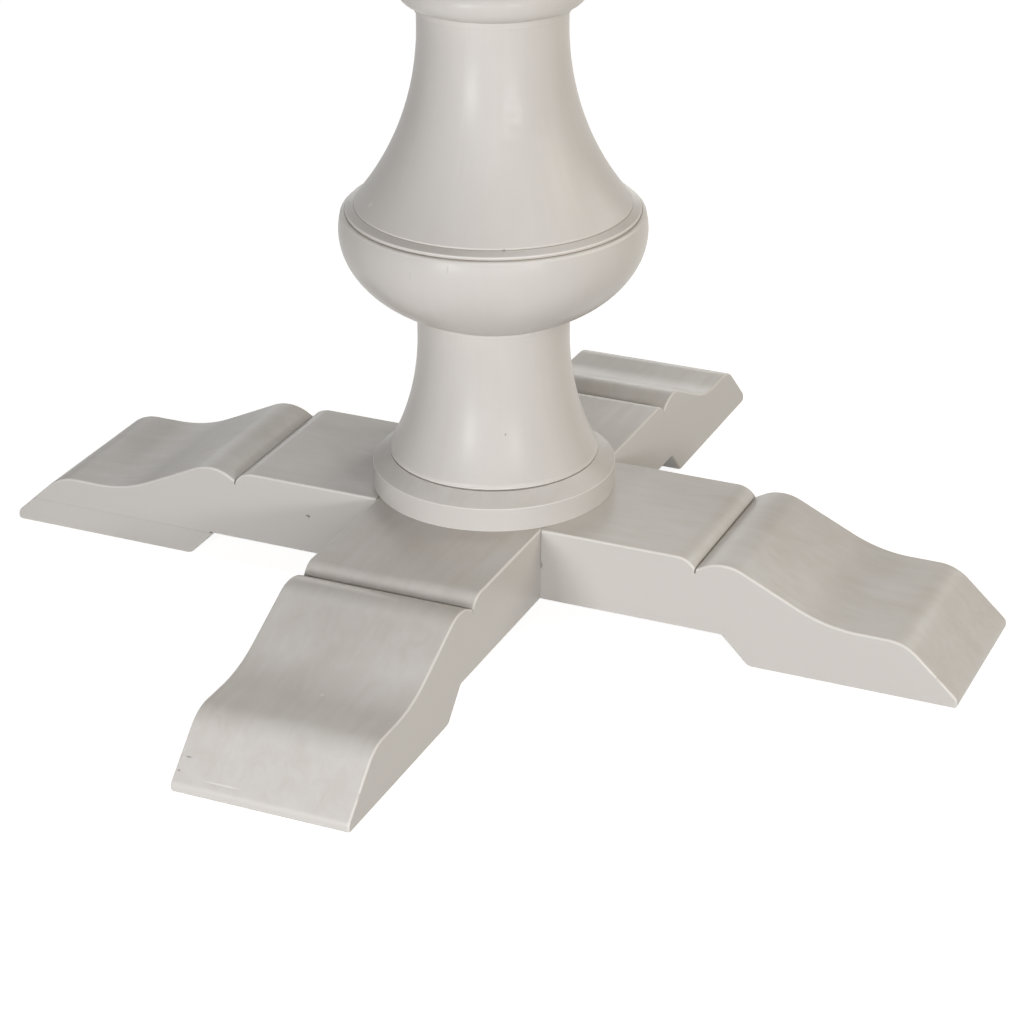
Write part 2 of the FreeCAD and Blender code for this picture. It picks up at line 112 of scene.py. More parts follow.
class BeamSizes(bpy.types.PropertyGroup):
    """The cross of floor beams and the pads glued under their ends"""

    arm_reach: length("Arm reach", "From the column's axis to the tip of a toe", pad_high.x)
    arm_width: length("Arm width", "Across an arm", pad_high.y - pad_low.y)
    beam_top: length("Beam top", "Height of the arms' flat tops", plinth_low.z)
    pad_thickness: length("Pad thickness", "Of the pads under the ends of the beams", pad_high.z)
    pad_length: length("Pad length", "From the tip of the toe to the heel, along the floor", 0.175)
    heel_angle: angle("Heel angle", "Slope of a pad's inner end", 45)
    heel_radius: length("Heel radius", "Where a pad's inner end meets the floor", 0.008)
    undercut_radius: length("Undercut radius", "Inner corner of a pad and the underside of its beam", 0.003)
    arris_radius: length("Arris radius", "Softened edges along both sides of a beam", 0.002)
    sole_radius: length("Sole radius", "Where the toe turns under to the floor", 0.0035)
    toe_height: length("Toe height", "Upright tip of the toe, before it is rounded", 0.008)
    toe_radius: length("Toe radius", "Rounding of the toe's tip", 0.007)
    toe_angle: angle("Toe angle", "Slope of the toe above its tip", 42.5)
    ledge_height: length("Ledge height", "Level part behind the toe, above the floor", 0.050)
    ledge_run: length("Ledge run", "From the toe's slope to the ogee", 0.0655)
    nose_radius: length("Nose radius", "From the toe's slope to the ledge", 0.038)
    ogee_run: length("Ogee run", "From the ledge to the crest", 0.089)
    hollow_radius: length("Hollow radius", "Of the ogee's lower half", 0.120)
    crest_radius: length("Crest radius", "Of the ogee's upper half", 0.036)
    crest_run: length("Crest run", "From the crest back to the quirk", 0.0225)
    crest_angle: angle("Crest angle", "Slope from the quirk up to the crest, before it is rounded", 30)
    quirk_depth: length("Quirk depth", "Of the V across the top of an arm", 0.009)
    quirk_radius: length("Quirk radius", "In the bottom of the V", 0.001)
    kerf_width: length("Kerf width", "Of the saw cut in the bottom of the V", 0.0013)
    kerf_depth: length("Kerf depth", "Of the saw cut below the V", 0.0035)
    lip_angle: angle("Lip angle", "Slope of the lip where it drops into the quirk", 54)
    lip_radius: length("Lip radius", "Rounded end of the arm's flat", 0.0195)
    joint_gap: length("Joint gap", "Open seam along the cheeks of the half-lap", 0.0004)
    glue_line: length("Glue line", "Seam between a pad and its beam", 0.00002)
    open_glue_line: length("Open glue line", "Seam above the left pad, where it shows", 0.00010)
    ripple_depth: length("Ripple depth", "Unevenness that sanding left in the wood", 0.00012)
    ripple_length: length("Ripple length", "From one low place to the next", 0.055)


class ColumnSizes(bpy.types.PropertyGroup):
    """The turned column and the plinth disc that it stands on"""

    plinth_diameter: length("Plinth diameter", "Across the disc", 2 * plinth_high.x)
    plinth_bevel_height: length("Plinth bevel height", "Of the bevel round its top", 0.0095)
    plinth_bevel_width: length("Plinth bevel width", "Of the bevel round its top", 0.0145)
    plinth_edge_radius: length("Plinth edge radius", "Softened edges of the disc", 0.0012)
    bore_clearance: length("Bore clearance", "Round the tie rod", 0.0005)
    foot_diameter: length("Foot diameter", "Across the bottom of the lower flare", 0.180)
    foot_lip_radius: length("Foot lip radius", "Where the flare turns under to the disc", 0.0035)
    lower_flare_height: length("Lower flare height", "From the disc to the lower neck", 0.104)
    lower_neck_diameter: length("Lower neck diameter", "Below the bulb", 0.127)
    lower_neck_height: length("Lower neck height", "Straight part below the bulb", 0.022)
    collar_step: length("Collar step", "How far a small square fillet stands out", 0.002)
    collar_height: length("Collar height", "Of the fillet under the bulb", 0.0024)
    bulb_diameter: length("Bulb diameter", "Across its widest part", 0.254)
    bulb_half_height: length("Bulb half height", "Of the ellipse that the bulb follows", 0.0815)
    shoulder_rise: length("Shoulder rise", "From the bulb's widest part to its shoulder", 0.016)
    shoulder_ledge: length("Shoulder ledge", "Flat part inside the shoulder's edge", 0.0034)
    shoulder_radius: length("Shoulder radius", "Rounding of the shoulder's edge", 0.0032)
    band_width: length("Band width", "Sloping band between the shoulder and the upper flare", 0.0072)
    band_edge_height: length("Band edge height", "Upright edge of the band", 0.0026)
    band_rise: length("Band rise", "From the band's edge to the flare", 0.0032)
    band_edge_radius: length("Band edge radius", "Rounding of the band's edge", 0.0015)
    flare_lip_height: length("Flare lip height", "Upright lip under the upper flare", 0.0015)
    flare_lip_radius: length("Flare lip radius", "Rounding of that lip", 0.0007)
    upper_flare_height: length("Upper flare height", "From the band to the upper neck", 0.147)
    upper_neck_diameter: length("Upper neck diameter", "Of the neck and of the stem", 0.122)
    upper_neck_height: length("Upper neck height", "Straight part below the ring", 0.0135)
    ring_collar_height: length("Ring collar height", "Of the fillets below and above the ring", 0.0055)
    ring_radius: length("Ring radius", "Of the half round, which stands on the fillets' edge", 0.015)
    crease_radius: length("Crease radius", "Paint drawn into an inner corner of the turning", 0.0005)
    ripple_depth: length("Ripple depth", "Unevenness that the turning tool left", 0.00012)
    ripple_length: length("Ripple length", "From one low place to the next", 0.045)
    dent_depth: length("Dent depth", "Of the knocks on the upper flare", 0.0005)
    dent_radius: length("Dent radius", "Of the knocks on the upper flare", 0.006)


class BearerSizes(bpy.types.PropertyGroup):
    """The bearers under a table top, and their screw holes"""

    tip_depth: length("Tip depth", "The ends taper to this depth from below", 0.020)
    taper: length("Taper", "Length of the tapered ends", 0.090)
    corner_radius: length("Corner radius", "Rounded corners of a bearer's outline", 0.003)
    arris_radius: length("Arris radius", "Softened edges along both sides of a bearer", 0.0015)
    top_screw_reach: length("Top screw reach", "Table top screw holes, from the axis", 0.250)
    top_screw_hole: length("Top screw hole", "Diameter", 0.007)
    top_screw_pocket: length("Top screw pocket", "Diameter of the counterbore below", 0.016)
    top_screw_seat: length("Top screw seat", "Wood left above a pocket", 0.012)


class HardwareSizes(bpy.types.PropertyGroup):
    """The tie rod, the bearer screws and the dowels"""

    washer_thickness: length("Washer thickness", "Of the tie rod's washers", 0.0025)
    nut_pocket_clearance: length("Nut pocket clearance", "Round a washer in its pocket", 0.002)
    thread_pitch: length("Thread pitch", "From one turn of the rod's thread to the next", 0.0015)
    thread_depth: length("Thread depth", "From crest to root", 0.0009)
    thread_length: length("Thread length", "Cut on each end of the rod", 0.030)
    rod_chamfer: length("Rod chamfer", "At both ends of the rod", 0.001)
    screw_circle: length("Screw circle", "Diameter of the circle the bearer screws stand on", 0.080)
    screw_diameter: length("Screw diameter", "Of the shank", 0.006)
    screw_head: length("Screw head", "Across the countersunk head", 0.012)
    screw_point: length("Screw point", "Length of the point", 0.008)
    screw_tip: length("Screw tip", "Diameter of the point's blunt tip", 0.0006)
    recess_width: length("Recess width", "Across the arms of the cross recess", 0.0062)
    recess_slot: length("Recess slot", "Width of one slot of the cross recess", 0.0013)
    recess_depth: length("Recess depth", "Below the face of the head", 0.0028)
    dowel_circle: length("Dowel circle", "Diameter of the circle the dowels stand on", 0.100)
    dowel_diameter: length("Dowel diameter", "Of the locating dowels", 0.012)
    dowel_end_gap: length("Dowel end gap", "Above a dowel in the column", 0.001)
    hole_clearance: length("Hole clearance", "On the radius, round dowels and screws", 0.0001)


class Finishes(bpy.types.PropertyGroup):
    """Colours and surface sizes of the materials"""

    paint: colour("Paint", "Greige satin paint", "#D0CDC8")
    paint_thin: colour("Thin paint", "Where a brush stroke lies thinner", "#C6C1B9")
    # Paler paint on sharp arrises, as rubbed wear and a painted highlight; also the colour of real
    # scratches
    rubbed_and_highlit_paint: colour("Rubbed paint", "On arrises that sanding and use have rubbed", "#DEDAD3")
    # Painted shade in tight inner creases; also the colour of the hairline cracks on the bulb
    crease_shade_and_crack: colour("Crease", "Where grime has settled in an inner corner", "#8F877C")
    grime: colour("Grime", "In nicks and open seams", "#6E665B")
    stroke_width: length("Stroke width", "Across one brush stroke", 0.010)
    stroke_length: length("Stroke length", "Along one brush stroke", 0.090)
    stroke_height: length("Stroke height", "Of the bristle marks in the paint", 0.00003)
    board_strokes: number("Strokes on boards", "Share of the bristle marks left on the beams", 0.7)
    plinth_strokes: number("Strokes on the plinth", "Share of the bristle marks left on the disc", 0.6)
    turning_strokes: number("Strokes on the turning", "Share of the bristle marks left on the column", 0.2)
    paint_roughness: number("Paint roughness", "Of the satin coat", 0.32)
    stroke_roughness: number("Stroke roughness", "How much duller the coat is between strokes", 0.08)
    paint_specular: number("Paint specular", "Strength of the coat's reflection", 0.18)
    mottle_size: length("Mottle size", "Of the cloudy patches", 0.045)
    nick_depth: length("Nick depth", "Of small nicks in the paint", 0.0003)
    nick_grain: length("Nick grain", "How far the edge of a nick wanders", 0.0012)
    zinc: colour("Zinc plating", "Bright zinc on steel", "#C4C6C4")
    zinc_dull: colour("Dulled zinc", "Where the plating has dulled", "#A3A6A6")
    zinc_grain: length("Zinc grain", "Of the patches in the plating", 0.0016)
    zinc_roughness: number("Zinc roughness", "Of bright plating", 0.22)
    zinc_dull_roughness: number("Dulled zinc roughness", "Of dulled plating", 0.42)
    beech: colour("Beech", "Bare beech", "#C8A27B")
    beech_dark: colour("Beech fleck", "Darker flecks of the grain", "#A97F57")
    beech_fleck: length("Beech fleck width", "Across one fleck", 0.0006)
    beech_fleck_length: length("Beech fleck length", "Along one fleck", 0.0072)
    beech_roughness: number("Beech roughness", "Of planed bare wood", 0.6)


class StageSettings(bpy.types.PropertyGroup):
    """Camera, floor and light"""

    camera_azimuth: angle("Camera azimuth", "Turned from the front towards the right arm", 23.533)
    camera_elevation: angle("Camera elevation", "Above the floor", 25.811)
    camera_distance: length("Camera distance", "From the point below the bulb", 2.5337)
    aim_right: length("Aim right", "How far right of the axis the camera aims", 0.01523)
    aim_up: length("Aim up", "How far above the floor's centre the camera aims", 0.05106)
    lens: FloatProperty(
        name="Lens", description="Focal length on a 36 mm sensor", default=102.99, unit="CAMERA"
    )
    floor_size: length("Floor size", "Across the floor", 12.0)
    floor: colour("Floor", "Matte pale floor", "#B1AEA9")
    floor_lift: number("Floor lift", "Light that the eye sees in the floor by itself", 0.90)
    ambient: colour("Ambient", "Light from the room all round", "#FFE9D4")
    ambient_strength: number("Ambient strength", "Of the room's light", 0.04)
    box_aim: length("Soft box aim", "Height that the soft boxes are aimed at", 0.25)
    light_level: number("Light level", "Of all the soft boxes together", 0.96)


class TableBaseSettings(bpy.types.PropertyGroup):
    """Everything that a user may change"""

    beams: PointerProperty(type=BeamSizes)
    column: PointerProperty(type=ColumnSizes)
    bearers: PointerProperty(type=BearerSizes)
    hardware: PointerProperty(type=HardwareSizes)
    finishes: PointerProperty(type=Finishes)
    stage: PointerProperty(type=StageSettings)


# Outlines, as points (reach, height) in the plane of a section


def spaced(points, step):
    """The same line, with its straight runs divided into steps."""
    line = [points[0]]
    for start, end in zip(points, points[1:]):
        count = max(1, math.ceil((end - start).length / step))
        line += [start.lerp(end, index / count) for index in range(1, count + 1)]
    return line


def arc(centre, radius, first, last):
    """Points on a circle between two directions, both included."""
    sweep = last - first
    count = math.ceil(max(abs(sweep) * radius / ARC_STEP, abs(sweep) / ARC_TURN, ARC_FEWEST))
    turns = [first + sweep * index / count for index in range(count + 1)]
    return [centre + radius * Vector((math.cos(turn), math.sin(turn))) for turn in turns]


def corner_arc(before, corner, after, radius):
    """The arc that rounds a corner between two straight lines."""
    back = (before - corner).normalized()
    forth = (after - corner).normalized()
    half_angle = back.angle(forth) / 2
    centre = corner + (back + forth).normalized() * radius / math.sin(half_angle)
    start = corner + back * radius / math.tan(half_angle) - centre
    end = corner + forth * radius / math.tan(half_angle) - centre
    first = math.atan2(start.y, start.x)
    sweep = (math.atan2(end.y, end.x) - first + math.pi) % (2 * math.pi) - math.pi
    return arc(centre, radius, first, first + sweep)


def rounded_outline(corners):
    """A closed line through (corner, radius) pairs, with every corner rounded."""
    points = []
    for index, (corner, radius) in enumerate(corners):
        before = corners[index - 1][0]
        after = corners[(index + 1) % len(corners)][0]
        points += corner_arc(before, corner, after, radius)
    return spaced(points + points[:1], RUN_STEP)[:-1]


def shortened(points, cut):
    """A line without its first stretch of that length."""
    for index, (start, end) in enumerate(zip(points, points[1:])):
        span = (end - start).length
        if span > cut:
            return [start.lerp(end, cut / span)] + points[index + 1:]
        cut -= span
    raise ValueError("a rounded crease is longer than its run")


def eased(first, second, radius):
    """Two lines that meet, as one line with a small curve in place of their corner."""
    if radius == 0:
        return first + second[1:]
    corner = second[0]
    turn = (first[-1] - first[-2]).angle(second[1] - second[0])
    cut = radius * math.tan(turn / 2)
    head = shortened(first[::-1], cut)[::-1]
    tail = shortened(second, cut)
    shares = [index / EASE_STEPS for index in range(1, EASE_STEPS)]
    curve = [head[-1].lerp(corner, share).lerp(corner.lerp(tail[0], share), share) for share in shares]
    return head + curve + tail


def section_of(runs):
    """A closed line through (points, radius) runs, each eased by its radius into the next."""
    line = runs[0][0]
    for (_, radius), (points, _) in zip(runs, runs[1:]):
        line = eased(line, points, radius)
    return line[:-1]


def outward(points):
    """The outward direction at each point of a closed line that runs anticlockwise."""
    following = points[1:] + points[:1]
    before = points[-1:] + points[:-1]
    tangents = [after - prior for after, prior in zip(following, before)]
    return [Vector((tangent.y, -tangent.x)).normalized() for tangent in tangents]


def bends(points):
    """From -1, a tight inner crease, painted darker as shade, over 0, flat, to 1, a sharp edge, painted
    paler as rubbed wear and a highlight.
    """
    following = points[1:] + points[:1]
    before = points[-1:] + points[:-1]
    shares = []
    for prior, here, after in zip(before, points, following):
        arriving = here - prior
        leaving = after - here
        turn = math.asin(arriving.normalized().cross(leaving.normalized()))
        bend = turn / ((arriving.length + leaving.length) / 2)
        share = (abs(bend) - 1 / BLUNT_RADIUS) / (1 / SHARP_RADIUS - 1 / BLUNT_RADIUS)
        shares.append(math.copysign(min(max(share, 0), 1), bend))
    return shares


# Meshes


def new_piece(name, points, faces):
    """A mesh object of that name."""
    mesh = bpy.data.meshes.new(name)
    mesh.from_pydata(points, [], faces)
    piece = bpy.data.objects.new(name, mesh)
    bpy.context.scene.collection.objects.link(piece)
    return piece


def skinned(name, rings, rub_highlight_and_shade=None, closed=False):
    """A skin over rings of points, joined into a loop or closed by flat ends."""
    around = len(rings[0])
    points = [point for ring in rings for point in ring]
    faces = []
    for ring in range(len(rings) if closed else len(rings) - 1):
        here = ring * around
        there = (ring + 1) % len(rings) * around
        for index in range(around):
            beside = (index + 1) % around
            faces.append((here + index, there + index, there + beside, here + beside))
    if not closed:
        faces.append(tuple(range(around)))
        faces.append(tuple(reversed(range(len(points) - around, len(points)))))
    piece = new_piece(name, points, faces)
    # How far each point is painted paler on an arris, as wear and a highlight, or darker in a crease, as
    # shade
    if rub_highlight_and_shade is not None:
        attribute = piece.data.attributes.new("rub_highlight_and_shade", "FLOAT", "POINT")
        attribute.data.foreach_set("value", [share for ring in rub_highlight_and_shade for share in ring])
    return piece


def ripple(place, depth, wavelength):
    """How far a place lies below the true surface of hand-finished wood."""
    # The noise runs from -1 to 1
    return depth * (1 + noise.noise(place / wavelength)) / 2


def board(name, outline, width, arris, ripple_depth=0.0, ripple_length=1.0):
    """A board along X, sawn to its outline, with the edges of both sides softened."""
    half = width / 2
    flat = spaced([Vector((arris - half, 0)), Vector((half - arris, 0))], BOARD_STEP)
    turns = [math.pi / 2 * index / ARRIS_STEPS for index in range(ARRIS_STEPS)]
    # Stations across the board: place, how far it lies inside the outline, and how much it is painted
    # paler, as rubbed wear and a highlight
    near_arris = []
    for turn in turns:
        inward = arris * (1 - math.cos(turn))
        near_arris.append((inward - half, arris * (1 - math.sin(turn)), math.sin(2 * turn)))
    far_arris = [(-across, inset, rub_and_highlight) for across, inset, rub_and_highlight in reversed(near_arris)]
    stations = near_arris + [(place.x, 0.0, 0.0) for place in flat] + far_arris
    normals = outward(outline)
    edges = bends(outline)
    rings = []
    rub_highlight_and_shade = []
    for across, inset, rub_and_highlight in stations:
        ring = []
        for point, normal in zip(outline, normals):
            place = Vector((point.x, across, point.y))
            depth = inset + ripple(place, ripple_depth, ripple_length)
            ring.append(place - Vector((normal.x, 0, normal.y)) * depth)
        rings.append(ring)
        rub_highlight_and_shade.append([rub_and_highlight] * len(edges) if inset > 0 else edges)
    return skinned(name, rings, rub_highlight_and_shade)


def turning(name, section, ripple_depth, ripple_length, dents=()):
    """A closed section swept about the column's axis."""
    normals = outward(section)
    edges = bends(section)
    rings = []
    for step in range(TURNING_STEPS):
        turned = Matrix.Rotation(2 * math.pi * step / TURNING_STEPS, 3, "Z")
        ring = []
        for point, normal in zip(section, normals):
            place = turned @ Vector((point.x, 0, point.y))
            depth = ripple(place, ripple_depth, ripple_length)
            for centre, radius, dent_depth in dents:
                depth += dent_depth * math.exp(-((place - centre).length / radius) ** 2)
            ring.append(place - turned @ Vector((normal.x, 0, normal.y)) * depth)
        rings.append(ring)
    return skinned(name, rings, [edges] * TURNING_STEPS, closed=True)


def directions_round():
    """Directions round a bar, clockwise from above, so that its skin faces outward."""
    return [-2 * math.pi * index / ROUND_STEPS for index in range(ROUND_STEPS)]


def spindle(name, levels, x=0.0, y=0.0):
    """A round bar on an upright axis through (height, radius) levels."""
    rings = []
    for height, radius in levels:
        ring = []
        for turn in directions_round():
            ring.append(Vector((x + radius * math.cos(turn), y + radius * math.sin(turn), height)))
        rings.append(ring)
    return skinned(name, rings)


def block(name, low, high):
    """A box between two corners."""
    corners = [(low.x, low.z), (high.x, low.z), (high.x, high.z), (low.x, high.z)]
    return skinned(name, [[Vector((x, y, z)) for x, z in corners] for y in (low.y, high.y)])


def settle(piece):
    """Make a piece's modifiers part of its mesh."""
    depsgraph = bpy.context.evaluated_depsgraph_get()
    old_mesh = piece.data
    piece.data = bpy.data.meshes.new_from_object(piece.evaluated_get(depsgraph))
    piece.modifiers.clear()
    piece.data.name = piece.name
    bpy.data.meshes.remove(old_mesh)


def carve(piece, cutter, operation="DIFFERENCE"):
    """Cut a piece with another, which is then removed."""
    cut = piece.modifiers.new("cut", "BOOLEAN")
    cut.operation = operation
    cut.solver = "EXACT"
    cut.object = cutter
    settle(piece)
    cutter_mesh = cutter.data
    bpy.data.objects.remove(cutter)
    bpy.data.meshes.remove(cutter_mesh)


def bore(piece, radius, bottom, top, x=0.0, y=0.0):
    """Drill a hole between two heights."""
    carve(piece, spindle("cutter", [(bottom, radius), (top, radius)], x, y))


def around_axis(circle):
    """The places on a circle that lie midway between the arms."""
    for arm in range(ARMS):
        direction = 2 * math.pi * (arm + 0.5) / ARMS
        yield circle / 2 * math.cos(direction), circle / 2 * math.sin(direction)


def turn_quarters(piece, quarters):
    """Turn a piece's mesh about the column's axis by quarters of a circle."""
    piece.data.transform(Matrix.Rotation(quarters * math.pi / 2, 4, "Z"))


def fit(piece, material, slot, *nodes):
    """Finish a piece: its shading, its material and the solids that it stands for."""
    piece.data.materials.clear()
    piece.data.materials.append(material)
    # Faces with more corners than the skin's four are flat: sawn sides, ends and cuts
    piece.data.polygons.foreach_set("use_smooth", [len(face.vertices) <= 4 for face in piece.data.polygons])
    piece.data.set_sharp_from_angle(angle=CREASE_ANGLE)
    even = piece.modifiers.new("even_shading", "WEIGHTED_NORMAL")
    even.keep_sharp = True
    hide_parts(*nodes)
    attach(piece, BODY)


# Floor beams and pads


def quirk_reach(sizes):
    """How far from the column's axis the quirks lie."""
    nose = sizes.arm_reach - (sizes.ledge_height - sizes.toe_height) / math.tan(sizes.toe_angle)
    return nose - sizes.ledge_run - sizes.ogee_run - sizes.crest_run


def foot_corners(sizes):
    """Corners of one end of a beam with its pad, from the undercut round the toe to the flat."""
    heel = sizes.arm_reach - sizes.pad_length
    undercut = heel - sizes.pad_thickness / math.tan(sizes.heel_angle)
    quirk = quirk_reach(sizes)
    crest = quirk + sizes.crest_run
    hollow = crest + sizes.ogee_run
    nose = hollow + sizes.ledge_run
    quirk_bottom = sizes.beam_top - sizes.quirk_depth
    crest_height = quirk_bottom + sizes.crest_run * math.tan(sizes.crest_angle)
    lip = quirk - sizes.quirk_depth / math.tan(sizes.lip_angle)
    return [
        (Vector((undercut, sizes.pad_thickness)), sizes.undercut_radius),
        (Vector((heel, 0)), sizes.heel_radius),
        (Vector((sizes.arm_reach, 0)), sizes.sole_radius),
        (Vector((sizes.arm_reach, sizes.toe_height)), sizes.toe_radius),
        (Vector((nose, sizes.ledge_height)), sizes.nose_radius),
        (Vector((hollow, sizes.ledge_height)), sizes.hollow_radius),
        (Vector((crest, crest_height)), sizes.crest_radius),
        (Vector((quirk, quirk_bottom)), sizes.quirk_radius),
        (Vector((lip, sizes.beam_top)), sizes.lip_radius),
    ]


def shaped_beam(name, sizes):
    """A beam along X with both pads still on it."""
    one_end = foot_corners(sizes)
    other_end = [(Vector((-corner.x, corner.y)), radius) for corner, radius in reversed(one_end)]
    outline = rounded_outline(one_end + other_end)
    return board(
        name, outline, sizes.arm_width, sizes.arris_radius, sizes.ripple_depth, sizes.ripple_length
    )


def beam_above_pads(name, sizes):
    """A beam along X without its pads, with a saw cut along the bottom of both quirks."""
    beam = shaped_beam(name, sizes)
    reach = sizes.arm_reach + OVERCUT
    half = sizes.arm_width / 2 + OVERCUT
    low = Vector((-reach, -half, sizes.pad_thickness))
    high = Vector((reach, half, sizes.beam_top + OVERCUT))
    carve(beam, block("cutter", low, high), "INTERSECT")
    quirk_bottom = sizes.beam_top - sizes.quirk_depth
    for quirk in (-quirk_reach(sizes), quirk_reach(sizes)):
        low = Vector((quirk - sizes.kerf_width / 2, -half, quirk_bottom - sizes.kerf_depth))
        high = Vector((quirk + sizes.kerf_width / 2, half, quirk_bottom + sizes.kerf_width))
        carve(beam, block("cutter", low, high))
    return beam


def notch(piece, width, gap, bottom, top):
    """A half-lap's notch for a board of the same width, with a gap along both cheeks."""
    across = width / 2 + gap
    past = width / 2 + OVERCUT
    carve(piece, block("cutter", Vector((-across, -past, bottom)), Vector((across, past, top))))


def foot_pad(name, sizes, end, seam):
    """The pad at one end of a beam along X; end is 1 or -1."""
    pad = shaped_beam(name, sizes)
    inner = sizes.arm_width / 2 * end
    outer = (sizes.arm_reach + OVERCUT) * end
    half = sizes.arm_width / 2 + OVERCUT
    low = Vector((min(inner, outer), -half, -OVERCUT))
    high = Vector((max(inner, outer), half, sizes.pad_thickness - seam))
    carve(pad, block("cutter", low, high), "INTERSECT")
    return pad


def dowel_holes(piece, hardware, bottom, top):
    """Holes for the locating dowels, between two heights."""
    radius = hardware.dowel_diameter / 2 + hardware.hole_clearance
    for x, y in around_axis(hardware.dowel_circle):
        bore(piece, radius, bottom, top, x, y)


# Column and plinth


def bore_radius(sizes):
    """Radius of the bore round the tie rod."""
    return rod_high.x + sizes.bore_clearance


def nut_pocket_radius(hardware):
    """Radius of the pockets that take the tie rod's nuts and washers."""
    return washer_high.x + hardware.nut_pocket_clearance


def straight(*points):
    """A run through (radius, height) points."""
    return spaced([Vector(point) for point in points], RUN_STEP)


def flare(foot, neck):
    """An arc that leaves a neck upright and opens out to the foot below it."""
    spread = foot.x - neck.x
    drop = neck.y - foot.y
    radius = (spread ** 2 + drop ** 2) / (2 * spread)
    centre = Vector((neck.x + radius, neck.y))
    return arc(centre, radius, math.pi + math.asin(drop / radius), math.pi)


def bulb_side(sizes, centre_height, bottom, top):
    """The part of the bulb's ellipse between two heights."""
    first = math.asin((bottom - centre_height) / sizes.bulb_half_height)
    last = math.asin((top - centre_height) / sizes.bulb_half_height)
    points = []
    for place in arc(Vector((0, 0)), sizes.bulb_diameter / 2, first, last):
        squash = 2 * sizes.bulb_half_height / sizes.bulb_diameter
        points.append(Vector((place.x, centre_height + place.y * squash)))
    return points


def plinth_section(sizes):
    """Half of the disc's section: out along its underside, up over the bevel and down its bore."""
    outer = sizes.plinth_diameter / 2
    inner = outer - sizes.plinth_bevel_width
    arris = plinth_high.z - sizes.plinth_bevel_height
    hole = bore_radius(sizes)
    return section_of([
        (straight((hole, plinth_low.z), (outer, plinth_low.z)), sizes.plinth_edge_radius),
        (straight((outer, plinth_low.z), (outer, arris)), sizes.plinth_edge_radius),
        (straight((outer, arris), (inner, plinth_high.z)), sizes.plinth_edge_radius),
        (straight((inner, plinth_high.z), (hole, plinth_high.z)), 0.0),
        (straight((hole, plinth_high.z), (hole, plinth_low.z)), 0.0),
    ])


def column_section(sizes):
    """Half of the column's section: up its outside from the foot, and down its bore."""
    crease = sizes.crease_radius
    hole = bore_radius(sizes)
    foot = Vector((sizes.foot_diameter / 2, column_low.z))
    lower_neck = Vector((sizes.lower_neck_diameter / 2, foot.y + sizes.lower_flare_height))
    neck_top = lower_neck.y + sizes.lower_neck_height
    collar = lower_neck.x + sizes.collar_step
    bulb_bottom = neck_top + sizes.collar_height
    bulb_radius = sizes.bulb_diameter / 2
    bulb_rise = sizes.bulb_half_height * math.sqrt(1 - (collar / bulb_radius) ** 2)
    bulb_centre = bulb_bottom + bulb_rise
    shoulder = bulb_centre + sizes.shoulder_rise
    shoulder_edge = bulb_radius * math.sqrt(1 - (sizes.shoulder_rise / sizes.bulb_half_height) ** 2)
    band = shoulder_edge - sizes.shoulder_ledge
    band_edge_top = shoulder + sizes.band_edge_height
    band_top = band_edge_top + sizes.band_rise
    flare_foot = Vector((band - sizes.band_width, band_top + sizes.flare_lip_height))
    upper_neck = Vector((sizes.upper_neck_diameter / 2, flare_foot.y + sizes.upper_flare_height))
    upper_neck_top = upper_neck.y + sizes.upper_neck_height
    ring_collar = upper_neck.x + sizes.collar_step
    ring_bottom = upper_neck_top + sizes.ring_collar_height
    ring_top = ring_bottom + 2 * sizes.ring_radius
    ring_centre = Vector((ring_collar, ring_bottom + sizes.ring_radius))
    stem_bottom = ring_top + sizes.ring_collar_height
    top = column_high.z
    return section_of([
        (straight((hole, foot.y), foot), sizes.foot_lip_radius),
        (flare(foot, lower_neck), 0.0),
        (straight(lower_neck, (lower_neck.x, neck_top)), crease),
        (straight((lower_neck.x, neck_top), (collar, neck_top)), crease),
        (straight((collar, neck_top), (collar, bulb_bottom)), crease),
        (bulb_side(sizes, bulb_centre, bulb_bottom, shoulder), sizes.shoulder_radius),
        (straight((shoulder_edge, shoulder), (band, shoulder)), crease),
        (straight((band, shoulder), (band, band_edge_top)), sizes.band_edge_radius),
        (straight((band, band_edge_top), (flare_foot.x, band_top)), crease),
        (straight((flare_foot.x, band_top), flare_foot), sizes.flare_lip_radius),
        (flare(flare_foot, upper_neck), 0.0),
        (straight(upper_neck, (upper_neck.x, upper_neck_top)), crease),
        (straight((upper_neck.x, upper_neck_top), (ring_collar, upper_neck_top)), crease),
        (straight((ring_collar, upper_neck_top), (ring_collar, ring_bottom)), crease),
        (arc(ring_centre, sizes.ring_radius, -math.pi / 2, math.pi / 2), crease),
        (straight((ring_collar, ring_top), (ring_collar, stem_bottom)), crease),
        (straight((ring_collar, stem_bottom), (upper_neck.x, stem_bottom)), crease),
        (straight((upper_neck.x, stem_bottom), (upper_neck.x, top)), crease),
        (straight((upper_neck.x, top), (hole, top)), 0.0),
        (straight((hole, top), (hole, foot.y)), 0.0),
    ])


# Bearers and hardware


def screw_levels(sizes, clearance):
    """Levels of a countersunk bearer screw, its head level with the bearers' top."""
    shank = sizes.screw_diameter / 2 + clearance
    head = sizes.screw_head / 2 + clearance
    tip = screw_low.z - clearance
    return [
        (tip, sizes.screw_tip / 2),
        (tip + sizes.screw_point, shank),
        (screw_high.z - (head - shank), shank),
        (screw_high.z, head),
    ]


def screw_holes(piece, sizes):
    """Holes of the bearer screws' own form, opened a little past the face of the wood."""
    levels = screw_levels(sizes, sizes.hole_clearance)
    mouth = (screw_high.z + OVERCUT, levels[-1][1])
    for x, y in around_axis(sizes.screw_circle):
        carve(piece, spindle("cutter", levels + [mouth], x, y))


